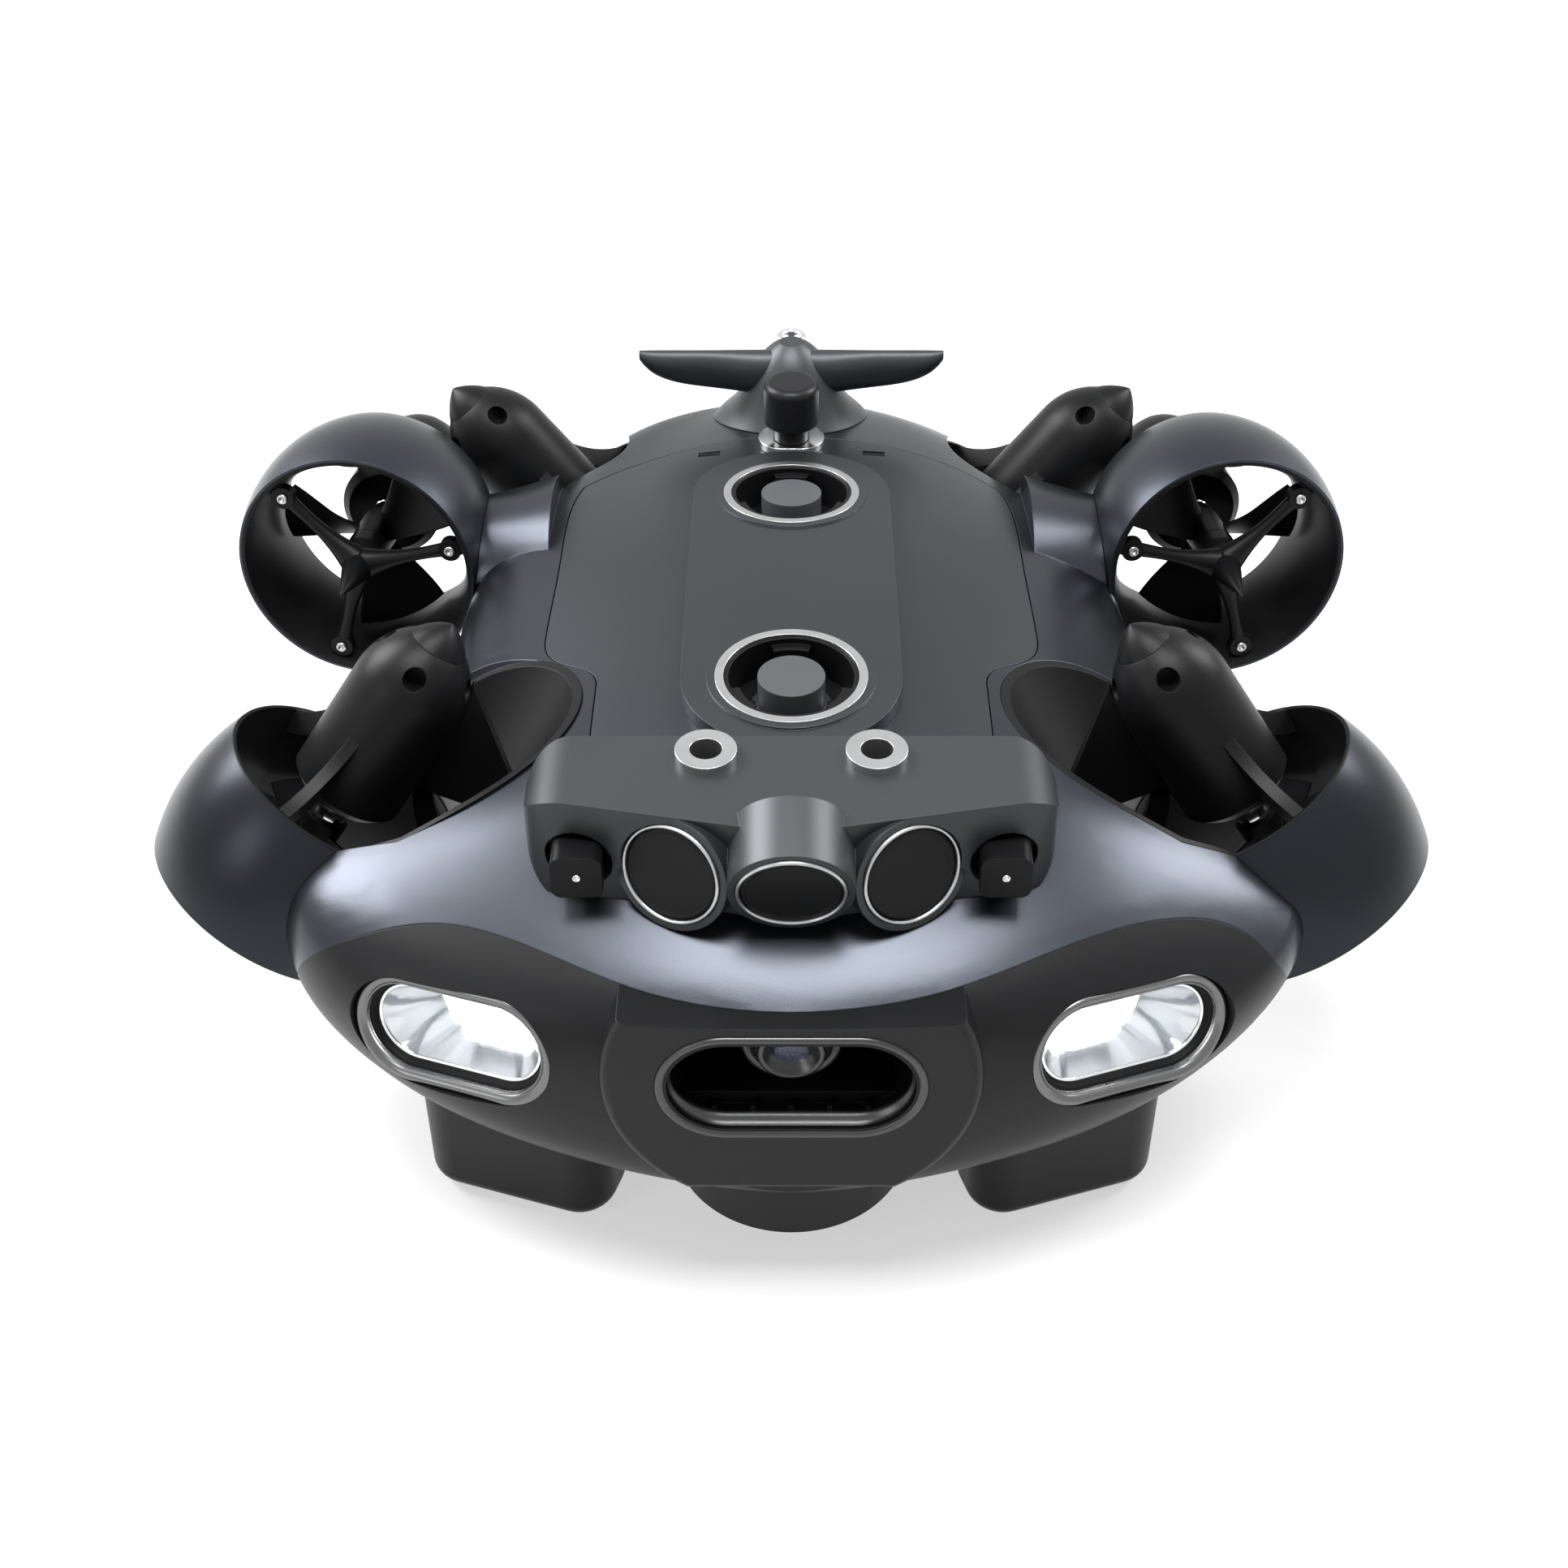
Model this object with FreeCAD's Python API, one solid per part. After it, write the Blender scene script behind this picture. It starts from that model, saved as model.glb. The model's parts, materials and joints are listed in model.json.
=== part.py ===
import FreeCAD, Part
import math
import os
from FreeCAD import Matrix, Placement, Rotation, Vector

# Compact six-thruster inspection vehicle, in millimetres.
# The origin is the centre of the front accessory socket, in the plane of its ring.
# +Z is up, the nose points along -Y, and X = 0 is the plane of symmetry.

# Hull: cross-sections along Y, each (y, half width, top, widest level, bottom).
HULL_STATIONS = [
    (-117.0, 34.0, -36.0, -68.0, -101.0),
    (-113.0, 74.0, -30.0, -64.0, -106.0),
    (-103.0, 108.0, -24.5, -60.0, -111.0),
    (-86.0, 134.0, -17.5, -57.0, -115.0),
    (-46.0, 154.0, -7.0, -54.0, -120.0),
    (-26.0, 140.0, -4.5, -52.0, -121.0),
    (25.0, 117.0, -4.5, -46.0, -120.0),
    (92.0, 113.0, -8.5, -40.0, -104.0),
    (160.0, 84.0, -16.5, -36.0, -64.0),
    (208.0, 45.0, -26.5, -35.0, -48.0),
    (219.0, 20.0, -31.0, -35.5, -42.0),
]
SECTION_POINTS = 12
SHELL_WALL = 3.5
SHELL_SPLIT = -60.0
HULL_CLEARANCE = 0.15
FLOOR_LEVEL = -145.0

# Nose bezel: upper edge as (x, z) pairs on the right side.
BEZEL_EDGE = [(0.0, -30.2), (39.0, -29.4), (74.0, -26.8), (108.0, -29.2), (134.0, -40.0), (149.0, -66.0)]
BEZEL_BOTTOM = -104.0
BEZEL_BOTTOM_HALF = 128.0
BEZEL_REAR = -56.0
BEZEL_HOLLOW = [(108.0, -56.0), (95.0, -80.0), (40.0, -98.0)]
BEZEL_HOLLOW_TOP = -50.0
BEZEL_HOLLOW_BOTTOM = -96.0
BOSS_RADIUS = 54.0
BOSS_CENTRE_Z = -53.5
BOSS_FRONT = -119.5
BOSS_BOTTOM = -98.0
BOSS_EDGE = 3.0

# Top cover plan, right half, as (x, y).
COVER_FRONT = -62.0
COVER_NECK_HALF = 61.0
COVER_NECK_END = 8.0
COVER_WIDE_HALF = 80.0
COVER_WIDE_START = 40.0
COVER_CORNER = (75.0, 142.0)
COVER_REAR = 171.0
COVER_GAP = 0.4
COVER_LEDGE = 5.0
LEDGE_THICK = 3.0
NOTCH_PLACE = (30.0, 157.5)
NOTCH_SIZE = (8.0, 4.6)
NOTCH_DEPTH = 1.2

# Raised accessory strip with two sockets.
STRIP_HALF = 34.0
SOCKET_SPACING = 113.0
STRIP_CAMBER_RADIUS = 1080.0
RING_RADIUS = 23.5
RING_WIDTH = 2.7
RING_RISE = 0.6
LIP_WIDTH = 2.6
LIP_RISE = 0.35
RING_SEAT = 3.0
CUP_DEPTH = 15.0
CUP_WALL = 1.5
CUP_FLOOR = 2.0
LUG_RADIAL = 3.2
LUG_HEIGHT = 2.4
LUG_SPAN = 38.0
LUG_DROP = 2.0
LUG_ANGLES = (90.0, 210.0, 330.0)
POST_RADIUS = 10.4
POST_FLARE = 2.4
POST_FLARE_HEIGHT = 3.0
CUP_SCREW_RADIUS = 3.0
CUP_SCREW_HEIGHT = 2.4
CUP_SCREW_OFFSET = 14.8

# Cover lock behind the strip.
LOCK_Y = 162.0
LOCK_BASE = -14.0
LOCK_STEM_RADIUS = 6.6
LOCK_CAP_RADIUS = 9.9
LOCK_CAP_BOTTOM = -6.0
LOCK_CAP_TOP = 10.0
LOCK_CAP_FILLET = 3.0
KEEPER_LENGTH = 24.0
KEEPER_WIDTH = 17.0
KEEPER_RISE = 1.0
LOCK_PIN_RADIUS = 3.0
LOCK_PIN_DEPTH = 8.0
RUNNING_CLEARANCE = 0.06
FACE_CLEARANCE = 0.3

# Tail.
TAIL_Y = 194.0
# Spine: level, width and length of each oval, from under the hull's skin to the crest.
TAIL_OVALS = [(-36.0, 66.0, 62.0), (-21.0, 51.0, 50.0), (-12.0, 38.0, 37.0), (-1.0, 27.0, 26.0),
              (6.0, 16.0, 15.0), (8.5, 9.0, 8.0)]
WING_Y = 191.5
WING_TOP = 6.0
# Wing: distance out from the middle, height and chord of each oval.
WING_OVALS = [(0.0, 15.5, 9.0), (30.0, 15.0, 8.5), (44.0, 12.6, 7.6), (52.5, 8.4, 5.8), (56.5, 3.6, 2.6)]
EYE_CENTRE = (0.0, 209.5, -0.5)
EYE_OUTER = 4.2
EYE_HOLE = 2.2
EYE_THICK = 2.4
EYE_ROOT_Y = 200.0
TOW_RING_RADIUS = 4.4
TOW_WIRE = 1.3

# Sensor bar on the nose.
BAR_TOP = 15.0
BAR_BOTTOM = -25.0
BAR_BACK = -48.0
BAR_HALF = 75.5
BAR_TIP_FRONT = -75.0
BAR_CENTRE_FRONT = -90.0
BAR_TOP_RADIUS = 13.0
BAR_BOTTOM_RADIUS = 19.0
BAR_NOSE_RADIUS = 40.0
BAR_END_RADIUS = 13.0
EYELET_X = 24.0
EYELET_Y = -57.0
EYELET_RADIUS = 8.8
EYELET_HOLE = 4.6
EYELET_RISE = 2.6
EYELET_DEPTH = 14.0
EYELET_WALL = 1.6
SONAR_RADIUS = 15.5
SONAR_RING = 2.0
SONAR_DEPTH = 14.0
SONAR_SINK = 0.6
SONAR_RING_DEPTH = 4.0
SONAR_COLLAR = 2.0
SONAR_BODY = 20.0
SIDE_SONAR_X = 33.5
SIDE_SONAR_Y = -87.5
SIDE_SONAR_Z = -2.5
SIDE_SONAR_YAW = 27.0
SIDE_SONAR_PITCH = 12.0
MID_SONAR_Y = -99.0
MID_SONAR_Z = 1.0
MID_SONAR_PITCH = -14.0
LASER_X = 59.5
LASER_Z = -5.0
LASER_SIZE = 14.4
LASER_DEPTH = 13.0
LASER_SOCKET_RADIUS = 9.6
LASER_SOCKET_DEPTH = 9.0
LASER_NECK_RADIUS = 5.0
LASER_REACH = 8.0
LASER_FILLET = 3.0
LASER_EYE_RADIUS = 1.4

# Lamps.
LAMP_X = 97.2
LAMP_Y = -99.5
LAMP_Z = -55.0
LAMP_YAW = 24.0
LAMP_PITCH = 13.0
LAMP_ROLL = -5.5
LAMP_LENGTH = 65.0
LAMP_HEIGHT = 36.0
LAMP_RIM = 3.6
LAMP_DEPTH = 26.0
LAMP_FLOOR = 2.0
LAMP_WINDOW_DROP = 4.0
LAMP_WINDOW_THICK = 2.0
LED_LENGTH = 27.0
LED_HEIGHT = 13.0
LED_THICK = 1.6
REFLECTOR_WALL = 1.2

# Camera bay.
CAMERA_Z = -53.9
CAMERA_LENGTH = 77.0
CAMERA_HEIGHT = 41.0
CAMERA_RIM = 3.5
CAMERA_DEPTH = 30.0
CAMERA_FLOOR = 3.0
SILL_DEPTH = 10.0
SILL_HEIGHT = 4.8
SILL_RIBS = 5
SILL_RIB_PITCH = 11.0
BARREL_RAISE = 2.4
BARREL_RADIUS = 14.3
BARREL_LENGTH = 13.0
BARREL_NOSE_RADIUS = 9.8
BARREL_NOSE_LENGTH = 4.0
LENS_RADIUS = 7.2
LENS_DOME = 2.2
LENS_SINK = 1.5

# Feet and belly sensor.
FOOT_LENGTH = 62.0
FOOT_WIDTH = 30.0
FRONT_FOOT = (84.0, -72.0)
REAR_FOOT = (62.0, 74.0)
FRONT_FOOT_TURN = 18.0
FOOT_TOP = -100.0
FOOT_CORNER = 12.0
FOOT_EDGE = 6.0
BELLY_Y = -74.0
BELLY_DISC_RADIUS = 37.0
BELLY_DISC_BOTTOM = -128.0
BELLY_FOOT_RADIUS = 23.0
BELLY_FOOT_EDGE = 5.0

# Thruster unit: Z runs from the guard rim towards the motor nose.
DUCT_LENGTH = 46.0
DUCT_GUARD_RADIUS = 41.8
DUCT_BULGE_RADIUS = 44.0
DUCT_BULGE_Z = 16.0
DUCT_MOTOR_RADIUS = 38.6
DUCT_WALL = 2.2
DUCT_THROAT = 34.8
DUCT_THROAT_Z = 26.0
POD_RADIUS = 18.0
POD_START = 44.0
POD_GAP = 1.5
POD_TAPER_START = 84.0
CAP_SEAM = 103.5
CAP_SEAM_RADIUS = 9.3
CAP_HEIGHT = 8.0
TIP_FLAT = 0.5
VENT_RADIUS = 3.4
VENT_COUNT = 4
VENT_Z = 96.0
STRUT_THICK = 4.0
STRUT_COUNT = 3
STRUT_ROOT_TOP = 80.0
STRUT_ROOT_BOTTOM = 60.0
STRUT_RIM_HEIGHT = 9.0
# Web on the front pods, which have the hull beside them.
WEB_THICK = 7.0
WEB_ROOT_TOP = 97.0
WEB_ROOT_BOTTOM = 58.0
WEB_RIM_TOP = 74.0
PROP_HUB_RADIUS = 7.0
PROP_START = 16.5
PROP_LENGTH = 17.0
BLADE_COUNT = 3
BLADE_TIP_GAP = 1.4
# Blade: radius, chord, pitch and thickness of each section.
BLADE_STATIONS = [(5.0, 12.0, 52.0, 3.2), (14.0, 20.0, 40.0, 2.6), (25.0, 29.0, 28.0, 2.0), (38.0, 34.0, 20.0, 1.4)]
SLEEVE_RADIUS = 5.5
SHAFT_RADIUS = 3.0
SHAFT_DEPTH = 14.0
GUARD_TIP = -20.0
GUARD_HUB_RADIUS = 7.2
GUARD_END = 16.0
GUARD_ARM_Z = 4.0
GUARD_ARM_THICK = 4.0
# Guard arm: distance out, width and height of each oval.
GUARD_ARM_OVALS = [(3.0, 11.0, 10.0), (13.0, 6.0, 6.0), (24.0, 4.4, 4.4), (34.0, 5.6, 4.0), (41.5, 6.0, 4.0)]
GUARD_SCREW_AT = 34.5
GUARD_PAD_RADIUS = 4.0
SCREW_RADIUS = 1.9
SCREW_HEIGHT = 1.0
# Angle of the strut whose screw is reached from outside, clear of the hull.
STRUT_SCREW_TURNS = {"front": 0.0, "rear": 120.0, "stern": 0.0}

# Where each right-hand thruster's guard rim is, and which way its motor nose points.
THRUSTERS = {
    "front": ((139.0, -9.7, -35.8), (-0.5625, 0.2006, 0.8021), 46.0, 60.0),
    "rear": ((152.0, 100.3, -29.3), (-0.114, 1.0, -0.102), 0.0, 14.3),
    "stern": ((83.0, 173.0, -53.0), (0.64, 0.10, 0.762), 46.0, 0.0),
}

# Hull room above the ducts, and the shoulder that carries each rear duct.
POD_ROOM = 75.0
STRUT_ROOM = [(30.5, 62.0), (23.5, 80.0), (20.0, 92.0)]
TROUGH_RADIUS = 46.0
TROUGH_START = 61.0
TROUGH_END = 150.0
LINER_THICK = 2.0
# Shoulder: distance out, half length and half height of each oval.
REAR_ARM_OVALS = [(84.0, 34.0, 24.0), (104.0, 27.0, 19.0), (128.0, 22.0, 15.0)]
REAR_ARM_CENTRE = (121.0, -36.0)

# Inside.
BATTERY_SIZE = (84.0, 130.0, 46.0)
BATTERY_CENTRE_Y = 15.0
BATTERY_BOTTOM = -96.0
BATTERY_RIBS = (-30.0, 15.0, 60.0)
BATTERY_RIB_THICK = 5.0
BOARD_SIZE = (70.0, 96.0, 1.6)
BOARD_STANDOFF = 6.0

X_AXIS = Vector(1, 0, 0)
Y_AXIS = Vector(0, 1, 0)
Z_AXIS = Vector(0, 0, 1)


def save(name, shapes):
    """Write one node's solids as a STEP file."""
    solids = []
    for shape in shapes:
        solids.extend(shape.Solids)
    for solid in solids:
        if not solid.isValid():
            print("invalid solid in", name)
    whole = solids[0] if len(solids) == 1 else Part.makeCompound(solids)
    whole.exportStep("parts/" + name + ".step")
    print(name, len(solids), round(sum(solid.Volume for solid in solids)))


def mirrored(shape):
    """Return the left-hand twin of a right-hand shape."""
    return shape.mirror(Vector(), X_AXIS)


def framed(origin, direction, upward=Z_AXIS, roll=0.0):
    """Placement whose Z axis points along direction and whose Y axis leans upward."""
    z_axis = Vector(direction).normalize()
    x_axis = Vector(upward).cross(z_axis).normalize()
    y_axis = z_axis.cross(x_axis)
    turn = Rotation(x_axis, y_axis, z_axis, "ZXY")
    return Placement(Vector(origin), turn.multiply(Rotation(Z_AXIS, roll)))


def placed(shape, placement):
    moved = shape.copy()
    moved.Placement = placement.multiply(moved.Placement)
    return moved


def main_piece(shape):
    """The largest solid of a cut shape."""
    return sorted(shape.Solids, key=lambda solid: solid.Volume)[-1]


def box(low, high):
    size = high - low
    return Part.makeBox(size.x, size.y, size.z, low)


def revolved(points):
    """Turn a closed (radius, z) outline about Z; a three-point tuple group is an arc."""
    edges = []
    here = Vector(points[0][0], 0, points[0][1])
    start = here
    for point in points[1:]:
        if len(point) == 4:
            middle = Vector(point[0], 0, point[1])
            there = Vector(point[2], 0, point[3])
            edges.append(Part.Arc(here, middle, there).toShape())
        else:
            there = Vector(point[0], 0, point[1])
            edges.append(Part.makeLine(here, there))
        here = there
    if here.distanceToPoint(start) > 1e-6:
        edges.append(Part.makeLine(here, start))
    return Part.Face(Part.Wire(edges)).revolve(Vector(), Z_AXIS, 360)


def stadium(length, height, depth, bottom=0.0):
    """Prism with round ends: length along X, height along Y, rising from bottom along Z."""
    radius = height / 2
    reach = length / 2 - radius
    lower_left = Vector(-reach, -radius, bottom)
    lower_right = Vector(reach, -radius, bottom)
    upper_right = Vector(reach, radius, bottom)
    upper_left = Vector(-reach, radius, bottom)
    edges = [
        Part.makeLine(lower_left, lower_right),
        Part.Arc(lower_right, Vector(length / 2, 0, bottom), upper_right).toShape(),
        Part.makeLine(upper_right, upper_left),
        Part.Arc(upper_left, Vector(-length / 2, 0, bottom), lower_left).toShape(),
    ]
    return Part.Face(Part.Wire(edges)).extrude(Vector(0, 0, depth))


def fillet_vertical(solid, radius):
    edges = []
    for edge in solid.Edges:
        ends = [vertex.Point for vertex in edge.Vertexes]
        if len(ends) == 2 and abs(ends[0].x - ends[1].x) < 1e-6 and abs(ends[0].y - ends[1].y) < 1e-6:
            edges.append(edge)
    return solid.makeFillet(radius, edges)


# ---------------------------------------------------------------- hull


def hull_section(station, inset):
    """Oval cross-section whose upper and lower halves have their own heights."""
    y, half_width, top, level, bottom = station
    points = []
    for index in range(SECTION_POINTS):
        angle = 2 * math.pi * (index + 0.5) / SECTION_POINTS
        reach = top - level - inset if angle < math.pi else level - bottom - inset
        points.append(Vector((half_width - inset) * math.cos(angle), y, level + reach * math.sin(angle)))
    curve = Part.BSplineCurve()
    curve.interpolate(Points=points, PeriodicFlag=True)
    return Part.Wire(curve.toShape())


def hull_solid(inset=0.0):
    """The hull's outer form, or the same form drawn in by an inset."""
    middle = (HULL_STATIONS[0][0] + HULL_STATIONS[-1][0]) / 2
    shrink = 1 - inset / (middle - HULL_STATIONS[0][0])
    stations = [(middle + (row[0] - middle) * shrink,) + row[1:] for row in HULL_STATIONS]
    return Part.makeLoft([hull_section(station, inset) for station in stations], True, False)


def bezel_prism():
    """Everything in front of and below the bezel's wavy upper edge."""
    right = [Vector(x, BEZEL_REAR, z) for x, z in BEZEL_EDGE]
    left = [Vector(-point.x, point.y, point.z) for point in reversed(right[1:])]
    curve = Part.BSplineCurve()
    curve.interpolate(left + right)
    top = curve.toShape()
    far_right = Vector(BEZEL_BOTTOM_HALF, BEZEL_REAR, BEZEL_BOTTOM)
    far_left = Vector(-BEZEL_BOTTOM_HALF, BEZEL_REAR, BEZEL_BOTTOM)
    wide_right = Vector(right[-1].x + 12, BEZEL_REAR, right[-1].z)
    wide_left = Vector(-wide_right.x, wide_right.y, wide_right.z)
    edges = [
        top,
        Part.makeLine(right[-1], wide_right),
        Part.makeLine(wide_right, far_right),
        Part.makeLine(far_right, far_left),
        Part.makeLine(far_left, wide_left),
        Part.makeLine(wide_left, left[0]),
    ]
    return Part.Face(Part.Wire(edges)).extrude(Vector(0, -80, 0))


def cover_outline(margin):
    """Closed plan wire of the top cover, grown outwards by a margin."""
    neck = COVER_NECK_HALF + margin
    wide = COVER_WIDE_HALF + margin
    corner = Vector(COVER_CORNER[0] + margin, COVER_CORNER[1] + margin, 0)
    front = COVER_FRONT - margin
    rear = Vector(0, COVER_REAR + margin, 0)

    def side(sign):
        step = Part.BSplineCurve()
        step.interpolate(
            [Vector(sign * neck, COVER_NECK_END, 0),
             Vector(sign * (neck + wide) / 2, (COVER_NECK_END + COVER_WIDE_START) / 2 - 2, 0),
             Vector(sign * wide, COVER_WIDE_START, 0)],
            InitialTangent=Y_AXIS, FinalTangent=Y_AXIS)
        flank = Part.BSplineCurve()
        flank.interpolate(
            [Vector(sign * wide, COVER_WIDE_START, 0), Vector(sign * (wide - 1), 84, 0),
             Vector(sign * corner.x, corner.y, 0)], InitialTangent=Y_AXIS,
            FinalTangent=Vector(-sign * 0.32, 0.95, 0))
        return [Part.makeLine(Vector(sign * neck, front, 0), Vector(sign * neck, COVER_NECK_END, 0)),
                step.toShape(), flank.toShape()]

    right_corner = Vector(corner.x, corner.y, 0)
    left_corner = Vector(-corner.x, corner.y, 0)
    edges = side(1) + side(-1)
    edges.append(Part.Arc(right_corner, rear, left_corner).toShape())
    edges.append(Part.makeLine(Vector(neck, front, 0), Vector(-neck, front, 0)))
    return Part.Wire(Part.__sortEdges__(edges))


def cover_prism(margin, bottom=-30.0, top=10.0):
    face = Part.Face(cover_outline(margin))
    face.translate(Vector(0, 0, bottom))
    return face.extrude(Vector(0, 0, top - bottom))


def bezel_hollow():
    """Room behind the bezel's face, open at the back."""
    plan = [(x, y) for x, y in BEZEL_HOLLOW] + [(-x, y) for x, y in reversed(BEZEL_HOLLOW)]
    points = [Vector(x, y, BEZEL_HOLLOW_BOTTOM) for x, y in plan]
    face = Part.Face(Part.makePolygon(points + points[:1]))
    return face.extrude(Vector(0, 0, BEZEL_HOLLOW_TOP - BEZEL_HOLLOW_BOTTOM))


def camera_cutter():
    prism = stadium(CAMERA_LENGTH, CAMERA_HEIGHT, CAMERA_DEPTH + 6)
    origin = Vector(0, BOSS_FRONT + CAMERA_DEPTH, CAMERA_Z)
    return placed(prism, framed(origin, -Y_AXIS))


def lamp_placement():
    yaw = math.radians(LAMP_YAW)
    pitch = math.radians(LAMP_PITCH)
    facing = Vector(math.sin(yaw) * math.cos(pitch), -math.cos(yaw) * math.cos(pitch), math.sin(pitch))
    return framed(Vector(LAMP_X, LAMP_Y, LAMP_Z), facing, Z_AXIS, LAMP_ROLL)


def lamp_cutter():
    """Lamp housing's pocket: mouth at local z = 0, open towards +z."""
    return placed(stadium(LAMP_LENGTH, LAMP_HEIGHT, LAMP_DEPTH + 30, -LAMP_DEPTH), lamp_placement())


def thruster_placement(kind):
    origin, nose, setback, roll = THRUSTERS[kind]
    direction = Vector(*nose).normalize()
    return framed(Vector(*origin) - direction * setback, direction, Z_AXIS if kind == "rear" else Y_AXIS, roll)


def duct_envelope(margin=0.0):
    """Solid plug with the duct's outer form, or the same form grown by a margin."""
    return revolved([(0, -margin), (DUCT_GUARD_RADIUS + margin, -margin),
                     (DUCT_BULGE_RADIUS + margin, DUCT_BULGE_Z, DUCT_MOTOR_RADIUS + margin, DUCT_LENGTH + margin),
                     (0, DUCT_LENGTH + margin)])


def both_sides(shapes):
    return shapes + [mirrored(shape) for shape in shapes]


def thruster_room(margin):
    """Space that the six ducts, their pods and struts, and the front liners take from the hull."""
    room = []
    for kind in THRUSTERS:
        if kind == "front":
            above = revolved([(0, DUCT_LENGTH - 4), (DUCT_MOTOR_RADIUS + margin, DUCT_LENGTH - 4),
                              (DUCT_MOTOR_RADIUS + margin, DUCT_LENGTH), (TROUGH_RADIUS + margin, TROUGH_START),
                              (TROUGH_RADIUS + margin, TROUGH_END), (0, TROUGH_END)])
        else:
            waist = [(radius + margin, z) for radius, z in STRUT_ROOM]
            above = revolved([(0, DUCT_LENGTH - 4), (DUCT_MOTOR_RADIUS + margin, DUCT_LENGTH - 4),
                              (DUCT_MOTOR_RADIUS + margin, DUCT_LENGTH)] + waist
                             + [(waist[-1][0], DUCT_LENGTH + POD_ROOM), (0, DUCT_LENGTH + POD_ROOM)])
        room.append(placed(duct_envelope(margin).fuse(above), thruster_placement(kind)))
    return Part.makeCompound(both_sides(room))


def rear_arm():
    """Shoulder that swells out of the hull's flank to carry a rear duct."""
    y, z = REAR_ARM_CENTRE
    rings = []
    for x, half_length, half_height in REAR_ARM_OVALS:
        ellipse = Part.Ellipse(Vector(x, y + half_length, z), Vector(x, y, z + half_height), Vector(x, y, z))
        rings.append(Part.Wire(ellipse.toShape()))
    return Part.makeLoft(rings, True, False)


def split_box(above):
    low = SHELL_SPLIT if above else FLOOR_LEVEL
    high = 60 if above else SHELL_SPLIT
    return box(Vector(-200, -200, low), Vector(200, 260, high))


def notch_cutter():
    """Shallow finger notch behind the strip, as deep everywhere as the hull's curve."""
    x, y = NOTCH_PLACE
    width, length = NOTCH_SIZE
    tall = box(Vector(x - width / 2, y - length / 2, -40), Vector(x + width / 2, y + length / 2, 0))
    return tall.cut(hull_solid(NOTCH_DEPTH))


def build_hull(outer):
    """Upper shell, lower shell, nose bezel and top cover, cut from one hull form."""
    room = thruster_room(HULL_CLEARANCE)
    prism = bezel_prism()
    behind = box(Vector(-200, BEZEL_REAR + SHELL_WALL, -200), Vector(200, 260, 60))
    cavity = hull_solid(SHELL_WALL).common(behind).cut(thruster_room(SHELL_WALL))
    walls = outer.cut(prism).cut(room).cut(cavity)

    lock_hole = Part.makeCylinder(LOCK_PIN_RADIUS + RUNNING_CLEARANCE, 40, Vector(0, LOCK_Y, LOCK_BASE - 30))
    upper = walls.common(split_box(True)).cut(cover_prism(0.0))
    ledge = hull_solid(SHELL_WALL).cut(hull_solid(SHELL_WALL + LEDGE_THICK))
    ledge = ledge.common(cover_prism(COVER_LEDGE).cut(cover_prism(-COVER_LEDGE))).common(behind)
    arm = rear_arm().cut(outer).cut(room)
    upper = upper.fuse(ledge.cut(room)).multiFuse(both_sides([main_piece(arm)])).cut(lock_hole)

    ribs = []
    for y in BATTERY_RIBS:
        low = Vector(-BATTERY_SIZE[0] / 2 + 6, y - BATTERY_RIB_THICK / 2, FLOOR_LEVEL)
        high = Vector(BATTERY_SIZE[0] / 2 - 6, y + BATTERY_RIB_THICK / 2, BATTERY_BOTTOM)
        ribs.append(box(low, high).common(outer))
    lower = main_piece(walls.common(split_box(False)).multiFuse(ribs))

    boss = Part.makeCylinder(BOSS_RADIUS, 50, Vector(0, BOSS_FRONT, BOSS_CENTRE_Z), Y_AXIS)
    boss = boss.cut(box(Vector(-BOSS_RADIUS, -200, -200), Vector(BOSS_RADIUS, 0, BOSS_BOTTOM)))
    boss = boss.makeFillet(BOSS_EDGE, [edge for edge in boss.Edges if abs(edge.BoundBox.YMax - BOSS_FRONT) < 0.1
                                       and edge.BoundBox.YLength < 0.1])
    bezel = outer.common(prism).fuse(boss.common(prism)).cut(bezel_hollow())
    lamp = lamp_cutter()
    bezel = main_piece(bezel.cut(Part.makeCompound([camera_cutter(), lamp, mirrored(lamp)])).cut(room))

    cover = outer.cut(hull_solid(SHELL_WALL)).common(cover_prism(-COVER_GAP))
    cover = cover.cut(Part.makeCompound([socket_hole(y) for y in (0.0, SOCKET_SPACING)] + [lock_hole]))
    cover = cover.cut(Part.makeCompound(both_sides([notch_cutter()])))
    return {"upper_shell": upper, "lower_shell": lower, "nose_bezel": bezel, "top_cover": cover}


# ---------------------------------------------------------------- accessory strip


def strip_frame(y):
    """Placement on the strip's cambered top at a distance behind the front socket."""
    radius = STRIP_CAMBER_RADIUS
    height = math.sqrt(radius ** 2 - y ** 2) - radius
    return framed(Vector(0, y, height), Vector(0, y, height + radius), Y_AXIS)


def socket_hole(y):
    well = Part.makeCylinder(RING_RADIUS - RING_WIDTH, 60, Vector(0, 0, -50))
    return placed(well, strip_frame(y))


def build_strip(clear):
    length = SOCKET_SPACING + 2 * STRIP_HALF
    prism = stadium(length, 2 * STRIP_HALF, 60, -50)
    prism.rotate(Vector(), Z_AXIS, 90)
    prism.translate(Vector(0, SOCKET_SPACING / 2, 0))
    camber = Part.makeCylinder(STRIP_CAMBER_RADIUS, 100, Vector(-50, 0, -STRIP_CAMBER_RADIUS), X_AXIS)
    strip = prism.common(camber).cut(clear)
    for y in (0.0, SOCKET_SPACING):
        lip = Part.makeCylinder(RING_RADIUS + LIP_WIDTH, LIP_RISE + RING_SEAT, Vector(0, 0, -RING_SEAT))
        seat = Part.makeCylinder(RING_RADIUS, 20, Vector(0, 0, -RING_SEAT))
        strip = strip.fuse(placed(lip, strip_frame(y)))
        strip = strip.cut(placed(seat, strip_frame(y))).cut(socket_hole(y))
    return strip


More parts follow.
